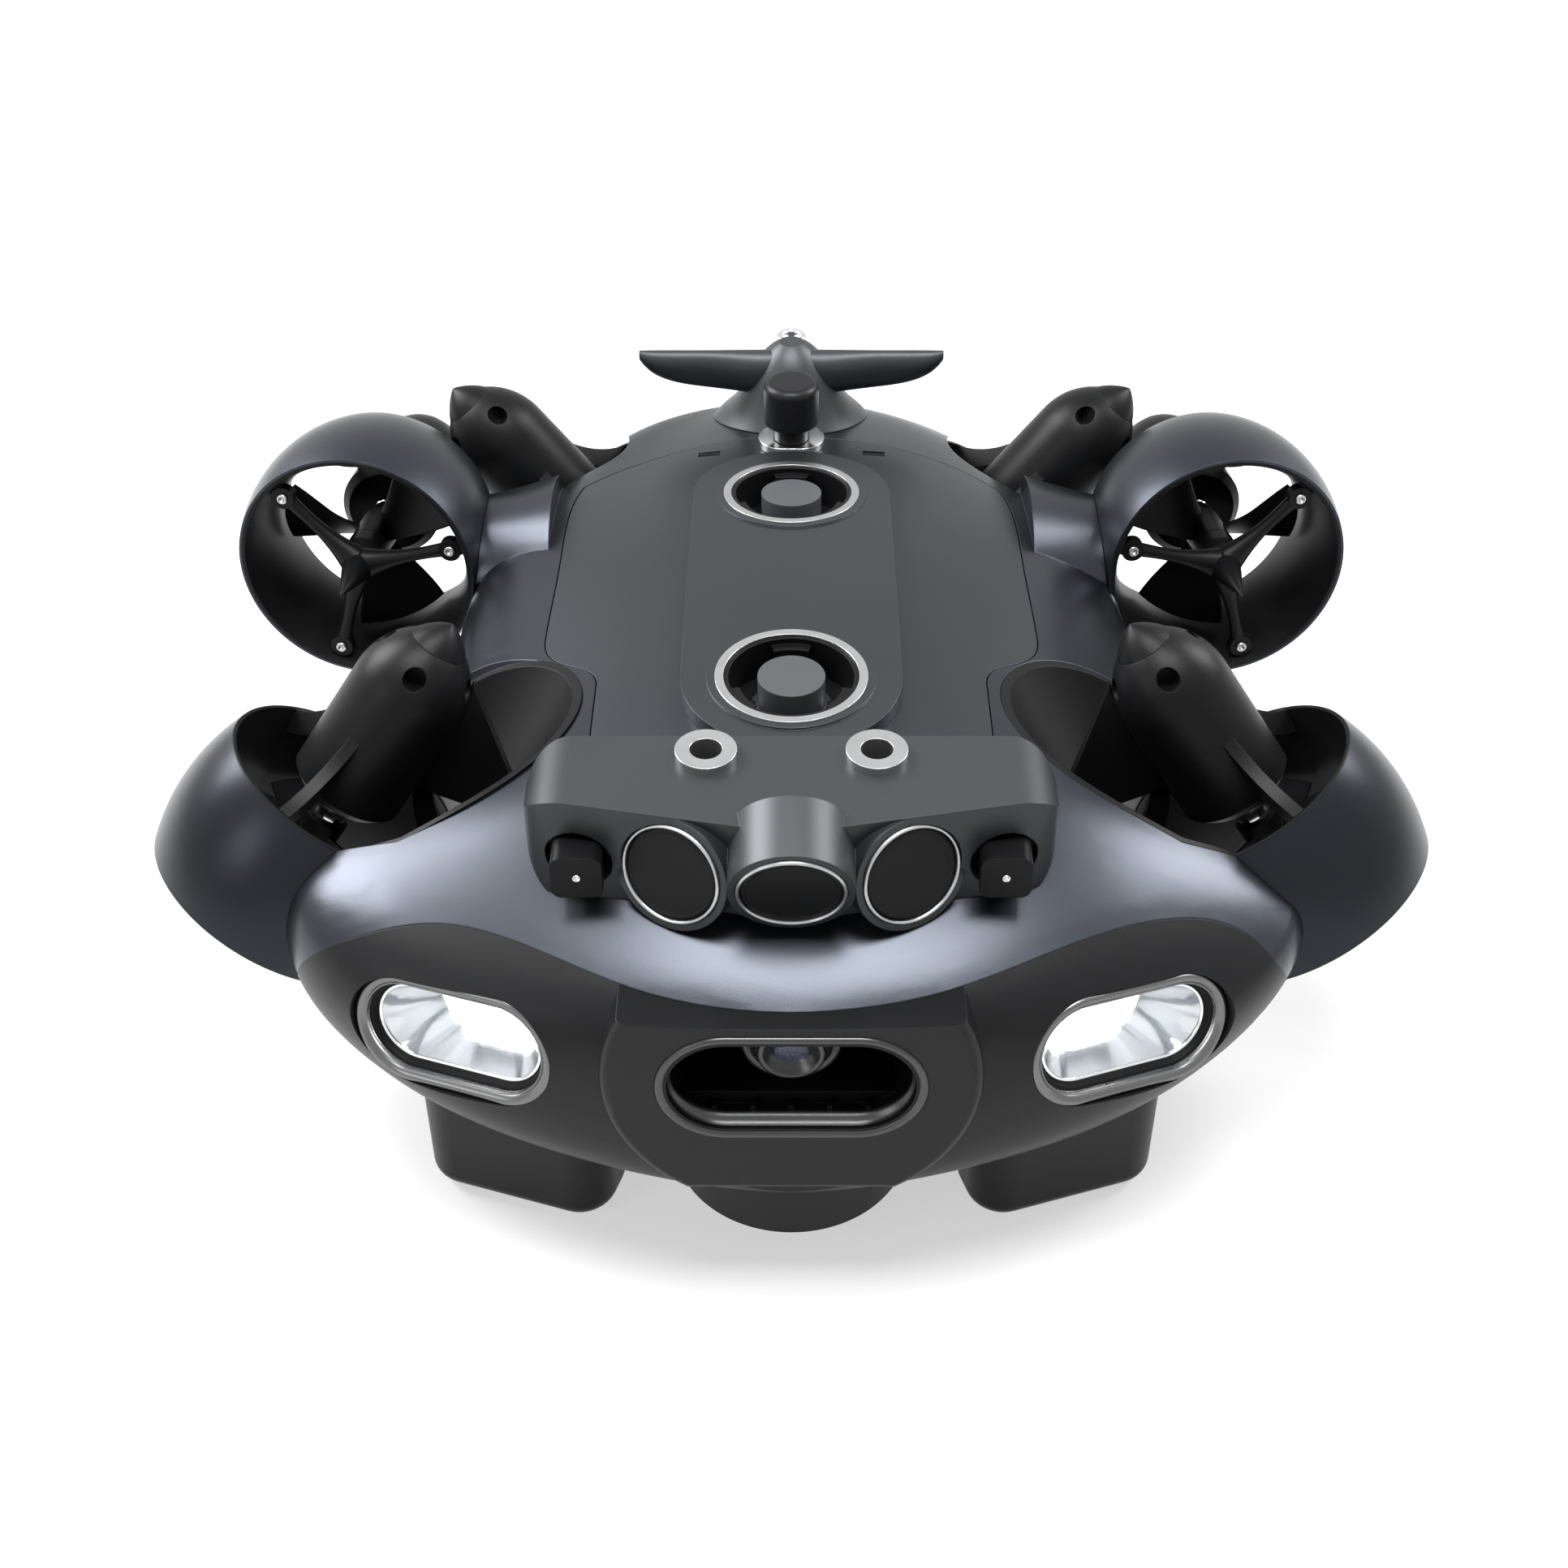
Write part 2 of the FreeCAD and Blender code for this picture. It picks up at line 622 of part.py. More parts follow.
def socket_ring(y):
    ring = revolved([(RING_RADIUS - RING_WIDTH, -RING_SEAT), (RING_RADIUS, -RING_SEAT),
                     (RING_RADIUS, RING_RISE), (RING_RADIUS - RING_WIDTH, RING_RISE)])
    return placed(ring, strip_frame(y))


def socket_cup(y):
    outside = RING_RADIUS - RING_WIDTH
    inside = outside - CUP_WALL
    cup = revolved([(0, -CUP_DEPTH), (outside, -CUP_DEPTH), (outside, 0), (inside, 0),
                    (inside, CUP_FLOOR - CUP_DEPTH), (0, CUP_FLOOR - CUP_DEPTH)])
    lugs = []
    for angle in LUG_ANGLES:
        lug = Part.makeCylinder(inside, LUG_HEIGHT, Vector(0, 0, -LUG_DROP - LUG_HEIGHT), Z_AXIS, LUG_SPAN)
        core = Part.makeCylinder(inside - LUG_RADIAL, LUG_HEIGHT, Vector(0, 0, -LUG_DROP - LUG_HEIGHT))
        lug = lug.cut(core)
        lug.rotate(Vector(), Z_AXIS, angle - LUG_SPAN / 2)
        lugs.append(lug)
    return placed(cup.multiFuse(lugs), strip_frame(y))


def socket_post(y):
    foot = CUP_FLOOR - CUP_DEPTH
    post = revolved([(0, foot), (POST_RADIUS + POST_FLARE, foot), (POST_RADIUS + POST_FLARE, foot + 1),
                     (POST_RADIUS, foot + POST_FLARE_HEIGHT), (POST_RADIUS, 0), (0, 0)])
    for sign in (-1, 1):
        notch = Part.makeCylinder(CUP_SCREW_RADIUS + 0.8, 5, Vector(sign * CUP_SCREW_OFFSET, 0, foot))
        post = post.cut(notch)
    return placed(post, strip_frame(y))


def socket_screws(y):
    foot = CUP_FLOOR - CUP_DEPTH
    screws = []
    for sign in (-1, 1):
        head = Part.makeCylinder(CUP_SCREW_RADIUS, CUP_SCREW_HEIGHT, Vector(sign * CUP_SCREW_OFFSET, 0, foot))
        screws.append(placed(head, strip_frame(y)))
    return screws


# ---------------------------------------------------------------- lock and tail


def keeper_plate(clear):
    plate = stadium(KEEPER_LENGTH, KEEPER_WIDTH, 20, LOCK_BASE + KEEPER_RISE - 20)
    plate.translate(Vector(0, LOCK_Y, 0))
    hole = Part.makeCylinder(LOCK_PIN_RADIUS + RUNNING_CLEARANCE, 40, Vector(0, LOCK_Y, LOCK_BASE - 20))
    return plate.cut(clear).cut(hole)


def lock_knob():
    stem_bottom = LOCK_BASE + KEEPER_RISE + FACE_CLEARANCE
    cap = Part.makeCylinder(LOCK_CAP_RADIUS, LOCK_CAP_TOP - LOCK_CAP_BOTTOM, Vector(0, LOCK_Y, LOCK_CAP_BOTTOM))
    cap = cap.makeFillet(LOCK_CAP_FILLET, [cap.Edges[0]])
    stem = Part.makeCylinder(LOCK_STEM_RADIUS, LOCK_CAP_BOTTOM - stem_bottom, Vector(0, LOCK_Y, stem_bottom))
    pin = Part.makeCylinder(LOCK_PIN_RADIUS, LOCK_PIN_DEPTH, Vector(0, LOCK_Y, stem_bottom - LOCK_PIN_DEPTH))
    return cap.multiFuse([stem, pin])


def oval(centre, width, length):
    """Oval wire in a level plane; the width along X is the longer of the two."""
    ellipse = Part.Ellipse(centre + X_AXIS * (width / 2), centre + Y_AXIS * (length / 2), centre)
    return Part.Wire(ellipse.toShape())


def tail_wing():
    """Right half of the cross wing: ovals that thin out towards the tip, their tops level."""
    rings = []
    for reach, height, chord in WING_OVALS:
        centre = Vector(reach, WING_Y, WING_TOP - height / 2)
        ellipse = Part.Ellipse(centre + Z_AXIS * (height / 2), centre + Y_AXIS * (chord / 2), centre)
        rings.append(Part.Wire(ellipse.toShape()))
    return Part.makeLoft(rings, True, False)


def tail_fin(clear):
    spine = Part.makeLoft([oval(Vector(0, TAIL_Y, z), width, length) for z, width, length in TAIL_OVALS], True, False)
    half = tail_wing()
    centre = Vector(*EYE_CENTRE)
    lug = Part.makeCylinder(EYE_OUTER, EYE_THICK, centre - X_AXIS * (EYE_THICK / 2), X_AXIS)
    neck = box(Vector(-EYE_THICK / 2, EYE_ROOT_Y, centre.z - EYE_OUTER), centre + Vector(EYE_THICK / 2, 0, EYE_OUTER * 0.6))
    hole = Part.makeCylinder(EYE_HOLE, 20, centre - X_AXIS * 10, X_AXIS)
    return main_piece(spine.cut(clear)).multiFuse([half, mirrored(half), lug, neck]).cut(hole)


def tow_ring():
    """Ring through the tail's eye, lying straight back at rest."""
    ring = Part.makeTorus(TOW_RING_RADIUS, TOW_WIRE, Vector(), Z_AXIS)
    place = Placement(Vector(*EYE_CENTRE) + Y_AXIS * TOW_RING_RADIUS, Rotation())
    return placed(ring, place)


# ---------------------------------------------------------------- sensor bar


def sonar_frame(which):
    if which == "side":
        yaw = math.radians(SIDE_SONAR_YAW)
        pitch = math.radians(SIDE_SONAR_PITCH)
        origin = Vector(SIDE_SONAR_X, SIDE_SONAR_Y, SIDE_SONAR_Z)
    else:
        yaw = 0.0
        pitch = math.radians(MID_SONAR_PITCH)
        origin = Vector(0, MID_SONAR_Y, MID_SONAR_Z)
    facing = Vector(math.sin(yaw) * math.cos(pitch), -math.cos(yaw) * math.cos(pitch), math.sin(pitch))
    return framed(origin, facing)


def sonar_face(which, clear):
    face = Part.makeCylinder(SONAR_RADIUS - SONAR_RING, SONAR_DEPTH, Vector(0, 0, -SONAR_DEPTH - SONAR_SINK))
    return placed(face, sonar_frame(which)).cut(clear)


def sonar_ring(which):
    ring = revolved([(SONAR_RADIUS - SONAR_RING, -SONAR_RING_DEPTH), (SONAR_RADIUS, -SONAR_RING_DEPTH),
                     (SONAR_RADIUS, 0), (SONAR_RADIUS - SONAR_RING, 0)])
    return placed(ring, sonar_frame(which))


def sonar_pocket(which):
    pocket = revolved([(0, -SONAR_DEPTH - SONAR_SINK), (SONAR_RADIUS - SONAR_RING, -SONAR_DEPTH - SONAR_SINK),
                       (SONAR_RADIUS - SONAR_RING, -SONAR_RING_DEPTH), (SONAR_RADIUS, -SONAR_RING_DEPTH),
                       (SONAR_RADIUS, 20), (0, 20)])
    return placed(pocket, sonar_frame(which))


def sonar_collar(which):
    collar = Part.makeCylinder(SONAR_RADIUS + SONAR_COLLAR, SONAR_BODY, Vector(0, 0, -SONAR_BODY - 0.5))
    return placed(collar, sonar_frame(which))


def laser_face_y():
    return BAR_CENTRE_FRONT + (BAR_TIP_FRONT - BAR_CENTRE_FRONT) * LASER_X / BAR_HALF


def bar_plan_solid():
    """Chevron plan of the bar, with rounded corners, between its top and bottom."""
    corners = [Vector(-BAR_HALF, BAR_BACK, BAR_BOTTOM), Vector(BAR_HALF, BAR_BACK, BAR_BOTTOM),
               Vector(BAR_HALF, BAR_TIP_FRONT, BAR_BOTTOM), Vector(0, BAR_CENTRE_FRONT, BAR_BOTTOM),
               Vector(-BAR_HALF, BAR_TIP_FRONT, BAR_BOTTOM)]
    prism = Part.Face(Part.makePolygon(corners + corners[:1])).extrude(Vector(0, 0, BAR_TOP - BAR_BOTTOM))
    for match, radius in ((lambda p: abs(p.x) < 1, BAR_NOSE_RADIUS), (lambda p: p.x > 1, BAR_END_RADIUS),
                          (lambda p: p.x < -1, BAR_END_RADIUS)):
        upright = [edge for edge in prism.Edges if edge.BoundBox.ZLength > 20
                   and edge.BoundBox.XLength < 0.01 and match(edge.Vertexes[0].Point)]
        prism = prism.makeFillet(radius, upright)
    return prism


def bar_front_solid():
    """Front view of the bar as a prism along Y: tight top corners and wide lower ones."""
    slab = box(Vector(-BAR_HALF, BAR_CENTRE_FRONT - 5, BAR_BOTTOM), Vector(BAR_HALF, BAR_BACK + 5, BAR_TOP))
    for level, radius in ((BAR_TOP, BAR_TOP_RADIUS), (BAR_BOTTOM, BAR_BOTTOM_RADIUS)):
        long_edges = [edge for edge in slab.Edges if edge.BoundBox.YLength > 20
                      and abs(edge.BoundBox.ZMin - level) < 0.01 and edge.BoundBox.ZLength < 0.01
                      and edge.BoundBox.XLength < 0.01]
        slab = slab.makeFillet(radius, long_edges)
    return slab


def laser_socket():
    face = laser_face_y()
    return Part.makeCylinder(LASER_SOCKET_RADIUS, 40, Vector(LASER_X, face + LASER_SOCKET_DEPTH, LASER_Z), -Y_AXIS)


def laser_module():
    front = laser_face_y() - LASER_REACH
    half = LASER_SIZE / 2
    cube = box(Vector(LASER_X - half, front, LASER_Z - half), Vector(LASER_X + half, front + LASER_DEPTH, LASER_Z + half))
    cube = cube.makeFillet(LASER_FILLET, [edge for edge in cube.Edges if edge.BoundBox.YLength > LASER_DEPTH - 1])
    eye = Part.makeCylinder(LASER_EYE_RADIUS, 2, Vector(LASER_X, front - 0.01, LASER_Z), Y_AXIS)
    floor = laser_face_y() + LASER_SOCKET_DEPTH
    neck_start = front + LASER_DEPTH
    neck = Part.makeCylinder(LASER_NECK_RADIUS, floor - neck_start, Vector(LASER_X, neck_start, LASER_Z), Y_AXIS)
    return cube.cut(eye).fuse(neck)


def eyelet(sign):
    place = Placement(Vector(sign * EYELET_X, EYELET_Y, BAR_TOP), Rotation())
    insert = revolved([(EYELET_HOLE, EYELET_RISE), (EYELET_RADIUS, EYELET_RISE), (EYELET_RADIUS, 0),
                       (EYELET_HOLE + EYELET_WALL, 0), (EYELET_HOLE + EYELET_WALL, -EYELET_DEPTH),
                       (EYELET_HOLE, -EYELET_DEPTH)])
    return placed(insert, place)


def sensor_bar(clear):
    bar = bar_plan_solid().common(bar_front_solid())
    collars = [sonar_collar("side"), mirrored(sonar_collar("side")), sonar_collar("mid")]
    bar = bar.multiFuse(collars).cut(clear)
    pockets = both_sides([sonar_pocket("side"), laser_socket()]) + [sonar_pocket("mid")]
    for sign in (-1, 1):
        pockets.append(Part.makeCylinder(EYELET_HOLE + EYELET_WALL, 60,
                                         Vector(sign * EYELET_X, EYELET_Y, BAR_TOP - EYELET_DEPTH)))
    return bar.cut(Part.makeCompound(pockets))


# ---------------------------------------------------------------- lamps and camera


def lamp_housing():
    cup = stadium(LAMP_LENGTH, LAMP_HEIGHT, LAMP_DEPTH, -LAMP_DEPTH)
    bowl = stadium(LAMP_LENGTH - 2 * LAMP_RIM, LAMP_HEIGHT - 2 * LAMP_RIM, LAMP_DEPTH, LAMP_FLOOR - LAMP_DEPTH)
    return placed(cup.cut(bowl), lamp_placement())


def lamp_cone(grow):
    wide_length = LAMP_LENGTH - 2 * LAMP_RIM - 2 * REFLECTOR_WALL + 2 * grow
    wide_height = LAMP_HEIGHT - 2 * LAMP_RIM - 2 * REFLECTOR_WALL + 2 * grow
    mouth = stadium(wide_length, wide_height, 1, -LAMP_WINDOW_DROP - LAMP_WINDOW_THICK)
    root = stadium(LED_LENGTH + 2 * grow, LED_HEIGHT + 2 * grow, 1, LAMP_FLOOR - LAMP_DEPTH)
    return Part.makeLoft([mouth.Faces[-2].OuterWire, root.Faces[-2].OuterWire], True, True)


def lamp_reflector():
    return placed(lamp_cone(REFLECTOR_WALL).cut(lamp_cone(0.0)), lamp_placement())


def lamp_led():
    return placed(stadium(LED_LENGTH, LED_HEIGHT, LED_THICK, LAMP_FLOOR - LAMP_DEPTH), lamp_placement())


def lamp_window():
    pane = stadium(LAMP_LENGTH - 2 * LAMP_RIM, LAMP_HEIGHT - 2 * LAMP_RIM, LAMP_WINDOW_THICK,
                   -LAMP_WINDOW_DROP - LAMP_WINDOW_THICK)
    return placed(pane, lamp_placement())


def camera_placement(rise=0.0):
    return framed(Vector(0, BOSS_FRONT, CAMERA_Z + rise), -Y_AXIS)


def camera_frame():
    shell = stadium(CAMERA_LENGTH, CAMERA_HEIGHT, CAMERA_DEPTH, -CAMERA_DEPTH)
    well_height = CAMERA_HEIGHT - 2 * CAMERA_RIM
    bay = stadium(CAMERA_LENGTH - 2 * CAMERA_RIM, well_height, CAMERA_DEPTH, CAMERA_FLOOR - CAMERA_DEPTH)
    frame = shell.cut(bay)
    low = -well_height / 2
    sill = box(Vector(-CAMERA_LENGTH / 2, low - 1, CAMERA_FLOOR - CAMERA_DEPTH),
               Vector(CAMERA_LENGTH / 2, low + SILL_HEIGHT, -SILL_DEPTH))
    additions = [sill.common(bay)]
    for index in range(SILL_RIBS):
        x = (index - (SILL_RIBS - 1) / 2) * SILL_RIB_PITCH
        rib = box(Vector(x - 0.8, low - 1, -SILL_DEPTH), Vector(x + 0.8, low + SILL_HEIGHT - 2, -SILL_DEPTH + 4))
        additions.append(rib.common(bay))
    return placed(frame.multiFuse(additions), camera_placement())


def camera_barrel():
    floor = CAMERA_FLOOR - CAMERA_DEPTH
    front = floor + BARREL_LENGTH
    tip = front + BARREL_NOSE_LENGTH
    barrel = revolved([(0, floor), (BARREL_RADIUS, floor), (BARREL_RADIUS, front), (BARREL_NOSE_RADIUS, front),
                       (BARREL_NOSE_RADIUS, tip), (LENS_RADIUS, tip), (LENS_RADIUS, tip - LENS_SINK),
                       (0, tip - LENS_SINK)])
    return placed(barrel, camera_placement(BARREL_RAISE))


def camera_lens():
    seat = CAMERA_FLOOR - CAMERA_DEPTH + BARREL_LENGTH + BARREL_NOSE_LENGTH - LENS_SINK
    lens = revolved([(0, seat), (LENS_RADIUS, seat), (LENS_RADIUS, seat + 1),
                     (LENS_RADIUS * 0.7, seat + 1 + LENS_DOME * 0.52, TIP_FLAT, seat + 1 + LENS_DOME),
                     (0, seat + 1 + LENS_DOME)])
    return placed(lens, camera_placement(BARREL_RAISE))


# ---------------------------------------------------------------- feet


def foot_block(x, y, turn, clear):
    height = FOOT_TOP - FLOOR_LEVEL
    block = Part.makeBox(FOOT_LENGTH, FOOT_WIDTH, height, Vector(-FOOT_LENGTH / 2, -FOOT_WIDTH / 2, FLOOR_LEVEL))
    block = fillet_vertical(block, FOOT_CORNER)
    rim = [edge for edge in block.Edges if edge.BoundBox.ZMax < FLOOR_LEVEL + 0.1]
    block = block.makeFillet(FOOT_EDGE, rim)
    block.rotate(Vector(), Z_AXIS, turn)
    block.translate(Vector(x, y, 0))
    return block.cut(clear)


def belly_sensor(clear):
    disc = Part.makeCylinder(BELLY_DISC_RADIUS, 40, Vector(0, BELLY_Y, BELLY_DISC_BOTTOM))
    foot_height = BELLY_DISC_BOTTOM - FLOOR_LEVEL + 1
    foot = Part.makeCylinder(BELLY_FOOT_RADIUS, foot_height, Vector(0, BELLY_Y, FLOOR_LEVEL))
    foot = foot.makeFillet(BELLY_FOOT_EDGE, [edge for edge in foot.Edges if edge.BoundBox.ZMax < FLOOR_LEVEL + 0.1])
    return disc.cut(clear).fuse(foot)


# ---------------------------------------------------------------- thrusters


def duct_wall(margin=0.0):
    """The duct as a hollow ring, or the same ring with every face moved out by a margin."""
    inner = DUCT_GUARD_RADIUS - DUCT_WALL - margin
    motor_inner = DUCT_MOTOR_RADIUS - DUCT_WALL / 2 - margin
    return revolved([(inner, -margin), (DUCT_GUARD_RADIUS + margin, -margin),
                     (DUCT_BULGE_RADIUS + margin, DUCT_BULGE_Z, DUCT_MOTOR_RADIUS + margin, DUCT_LENGTH + margin),
                     (motor_inner, DUCT_LENGTH + margin),
                     (DUCT_THROAT - margin, DUCT_THROAT_Z, inner, -margin)])


def strut():
    """One curved fin from the pod's flank down to the duct's rim, in the XZ plane."""
    root = POD_RADIUS - 2
    rim = DUCT_MOTOR_RADIUS - DUCT_WALL / 2
    rim_bottom = DUCT_LENGTH - STRUT_RIM_HEIGHT
    upper = Part.Arc(Vector(root, 0, STRUT_ROOT_TOP), Vector(root + 7, 0, STRUT_ROOT_TOP - 21),
                     Vector(rim, 0, DUCT_LENGTH)).toShape()
    lower = Part.Arc(Vector(rim, 0, rim_bottom), Vector(root + 8, 0, DUCT_LENGTH + 1),
                     Vector(root, 0, STRUT_ROOT_BOTTOM)).toShape()
    outline = Part.Wire([upper, Part.makeLine(Vector(rim, 0, DUCT_LENGTH), Vector(rim, 0, rim_bottom)),
                         lower, Part.makeLine(Vector(root, 0, STRUT_ROOT_BOTTOM), Vector(root, 0, STRUT_ROOT_TOP))])
    fin = Part.Face(outline).extrude(Vector(0, STRUT_THICK, 0))
    fin.translate(Vector(0, -STRUT_THICK / 2, 0))
    return fin


def front_web(clear):
    """Broad web on a front pod's inboard flank, which meets the liner inside the hull."""
    root = POD_RADIUS - 2
    reach = TROUGH_RADIUS - LINER_THICK - HULL_CLEARANCE
    points = [Vector(-root, 0, WEB_ROOT_TOP), Vector(-root, 0, WEB_ROOT_BOTTOM), Vector(-reach, 0, TROUGH_START + 1),
              Vector(-reach, 0, WEB_RIM_TOP)]
    web = Part.Face(Part.makePolygon(points + points[:1])).extrude(Vector(0, WEB_THICK, 0))
    web.translate(Vector(0, -WEB_THICK / 2, 0))
    unrolled = Placement(Vector(), Rotation(Z_AXIS, -THRUSTERS["front"][3]))
    return placed(web, thruster_placement("front").multiply(unrolled))


def motor_pod(wall_room):
    bore = SHAFT_RADIUS + RUNNING_CLEARANCE
    bore_end = POD_START + SHAFT_DEPTH + 0.5
    bow = (POD_RADIUS * 0.62 + CAP_SEAM_RADIUS * 0.38 + 0.9)
    pod = revolved([(bore, POD_START), (POD_RADIUS - 3, POD_START), (POD_RADIUS, POD_START + 3),
                    (POD_RADIUS, POD_TAPER_START),
                    (bow, (POD_TAPER_START + CAP_SEAM) / 2 + 1.5, CAP_SEAM_RADIUS, CAP_SEAM),
                    (0, CAP_SEAM), (0, bore_end), (bore, bore_end)])
    fins = []
    for index in range(STRUT_COUNT):
        fin = strut()
        fin.rotate(Vector(), Z_AXIS, index * 360 / STRUT_COUNT)
        fins.append(fin.cut(wall_room))
    pod = pod.multiFuse(fins)
    shaft_room = Part.makeCylinder(bore, SHAFT_DEPTH + 0.5, Vector(0, 0, POD_START))
    vents = []
    for index in range(VENT_COUNT):
        vent = Part.makeCylinder(VENT_RADIUS, 12, Vector(POD_RADIUS * 0.5, 0, VENT_Z), X_AXIS)
        vent.rotate(Vector(), Z_AXIS, (index + 0.5) * 360 / VENT_COUNT)
        vents.append(vent)
    return pod.cut(Part.makeCompound(vents + [shaft_room]))


def pod_cap():
    return revolved([(0, CAP_SEAM), (CAP_SEAM_RADIUS, CAP_SEAM),
                     (CAP_SEAM_RADIUS * 0.55, CAP_SEAM + CAP_HEIGHT * 0.6, TIP_FLAT, CAP_SEAM + CAP_HEIGHT),
                     (0, CAP_SEAM + CAP_HEIGHT)])


def guard(wall_room):
    """Bullet-nosed hub on three tapering arms, each ending in a screw pad."""
    hub = revolved([(0, GUARD_TIP), (GUARD_HUB_RADIUS * 0.45, GUARD_TIP * 0.4, GUARD_HUB_RADIUS, GUARD_ARM_Z + 6),
                    (GUARD_HUB_RADIUS, GUARD_END), (0, GUARD_END)])
    rings = []
    for reach, width, height in GUARD_ARM_OVALS:
        centre = Vector(reach, 0, GUARD_ARM_Z)
        ellipse = Part.Ellipse(centre + Y_AXIS * (width / 2), centre + Z_AXIS * (height / 2), centre)
        rings.append(Part.Wire(ellipse.toShape()))
    pad = Part.makeCylinder(GUARD_PAD_RADIUS, GUARD_ARM_THICK,
                            Vector(GUARD_SCREW_AT, 0, GUARD_ARM_Z - GUARD_ARM_THICK / 2))
    arm = Part.makeLoft(rings, True, False).fuse(pad).cut(wall_room)
    arms = []
    for index in range(STRUT_COUNT):
        turned = main_piece(arm)
        turned.rotate(Vector(), Z_AXIS, index * 360 / STRUT_COUNT)
        arms.append(turned)
    return hub.multiFuse(arms).removeSplitter()


def unit_screws(strut_turn):
    """Three guard screws on the arm pads and one strut screw through the duct's flank."""
    heads = []
    top = GUARD_ARM_Z - GUARD_ARM_THICK / 2
    for index in range(STRUT_COUNT):
        head = Part.makeCylinder(SCREW_RADIUS, SCREW_HEIGHT, Vector(GUARD_SCREW_AT, 0, top - SCREW_HEIGHT))
        head.rotate(Vector(), Z_AXIS, index * 360 / STRUT_COUNT)
        heads.append(head)
    side = Part.makeCylinder(SCREW_RADIUS, 8, Vector(DUCT_MOTOR_RADIUS - 4, 0, DUCT_LENGTH - 5), X_AXIS)
    side = side.cut(duct_envelope())
    rim = Part.makeCylinder(DUCT_MOTOR_RADIUS + 2.6, 20, Vector(0, 0, DUCT_LENGTH - 15))
    strut_head = side.common(rim)
    strut_head.rotate(Vector(), Z_AXIS, strut_turn)
    heads.append(strut_head)
    return heads


def blade_section(radius, chord, pitch, thick):
    """Lens-shaped wire on the plane x = radius, its chord pitched out of the disc's plane."""
    angle = math.radians(pitch)
    along = Vector(0, math.cos(angle), math.sin(angle)) * (chord / 2)
    lift = Vector(0, -math.sin(angle), math.cos(angle))
    centre = Vector(radius, 0, PROP_START + PROP_LENGTH / 2)
    front = Part.Arc(centre - along, centre + lift * (thick * 0.8), centre + along).toShape()
    back = Part.Arc(centre + along, centre - lift * (thick * 0.2), centre - along).toShape()
    return Part.Wire([front, back])


def propeller():
    blades = []
    tip = DUCT_THROAT - BLADE_TIP_GAP
    sections = [blade_section(radius, chord, pitch, thick) for radius, chord, pitch, thick in BLADE_STATIONS]
    for index in range(BLADE_COUNT):
        blade = Part.makeLoft(sections, True, False)
        blade.rotate(Vector(), Z_AXIS, index * 360 / BLADE_COUNT + 30)
        blades.append(blade)
    swept = Part.makeCylinder(tip, 40, Vector(0, 0, PROP_START - 10))
    end = PROP_START + PROP_LENGTH
    hub = revolved([(0, PROP_START), (PROP_HUB_RADIUS, PROP_START), (PROP_HUB_RADIUS, end), (SLEEVE_RADIUS, end),
                    (SLEEVE_RADIUS, POD_START - 0.4), (SHAFT_RADIUS, POD_START - 0.4),
                    (SHAFT_RADIUS, POD_START + SHAFT_DEPTH), (0, POD_START + SHAFT_DEPTH)])
    return hub.multiFuse([blade.common(swept) for blade in blades])


def front_liner(outer):
    """Dark lining of the hull's hollow above a front duct, flush with the hull's skin."""
    wall = revolved([(DUCT_MOTOR_RADIUS - 1.0, DUCT_LENGTH - 1), (DUCT_MOTOR_RADIUS, DUCT_LENGTH - 1),
                     (DUCT_MOTOR_RADIUS, DUCT_LENGTH), (TROUGH_RADIUS, TROUGH_START),
                     (TROUGH_RADIUS, TROUGH_END), (TROUGH_RADIUS - LINER_THICK, TROUGH_END),
                     (TROUGH_RADIUS - LINER_THICK, TROUGH_START + 0.6), (DUCT_MOTOR_RADIUS - 1.0, DUCT_LENGTH + 1.2)])
    return main_piece(placed(wall, thruster_placement("front")).common(outer))


def build_thrusters(outer, clear):
    wall = duct_wall()
    wall_room = duct_wall(HULL_CLEARANCE)
    prop = propeller()
    pod = motor_pod(wall_room)
    cage = guard(wall_room)
    nodes = {}
    caps = []
    screws = []
    for kind in THRUSTERS:
        place = thruster_placement(kind)
        my_duct = placed(wall, place)
        my_pod = placed(pod, place)
        if kind == "front":
            my_duct = my_duct.fuse(front_liner(outer))
            my_pod = my_pod.fuse(front_web(clear))
        pieces = {"duct": my_duct, "motor_pod": my_pod, "guard": placed(cage, place), "propeller": placed(prop, place)}
        for piece, shape in pieces.items():
            nodes["right_" + kind + "_" + piece] = shape
            nodes["left_" + kind + "_" + piece] = mirrored(shape)
        caps.append(placed(pod_cap(), place))
        screws += [placed(head, place) for head in unit_screws(STRUT_SCREW_TURNS[kind])]
    nodes["pod_caps"] = both_sides(caps)
    nodes["thruster_screws"] = both_sides(screws)
    return nodes


# ---------------------------------------------------------------- inside


def battery_pack():
    length, depth, height = BATTERY_SIZE
    low = Vector(-length / 2, BATTERY_CENTRE_Y - depth / 2, BATTERY_BOTTOM)
    return box(low, low + Vector(length, depth, height))


def control_board():
    length, depth, thick = BOARD_SIZE
    top = BATTERY_BOTTOM + BATTERY_SIZE[2] + BOARD_STANDOFF
    low = Vector(-length / 2, BATTERY_CENTRE_Y - depth / 2, top)
    pieces = []
    for x in (-1, 1):
        for y in (-1, 1):
            at = Vector(x * (length / 2 - 5), BATTERY_CENTRE_Y + y * (depth / 2 - 5), top - BOARD_STANDOFF)
            pieces.append(Part.makeCylinder(3, BOARD_STANDOFF, at))
    return box(low, low + Vector(length, depth, thick)).multiFuse(pieces)


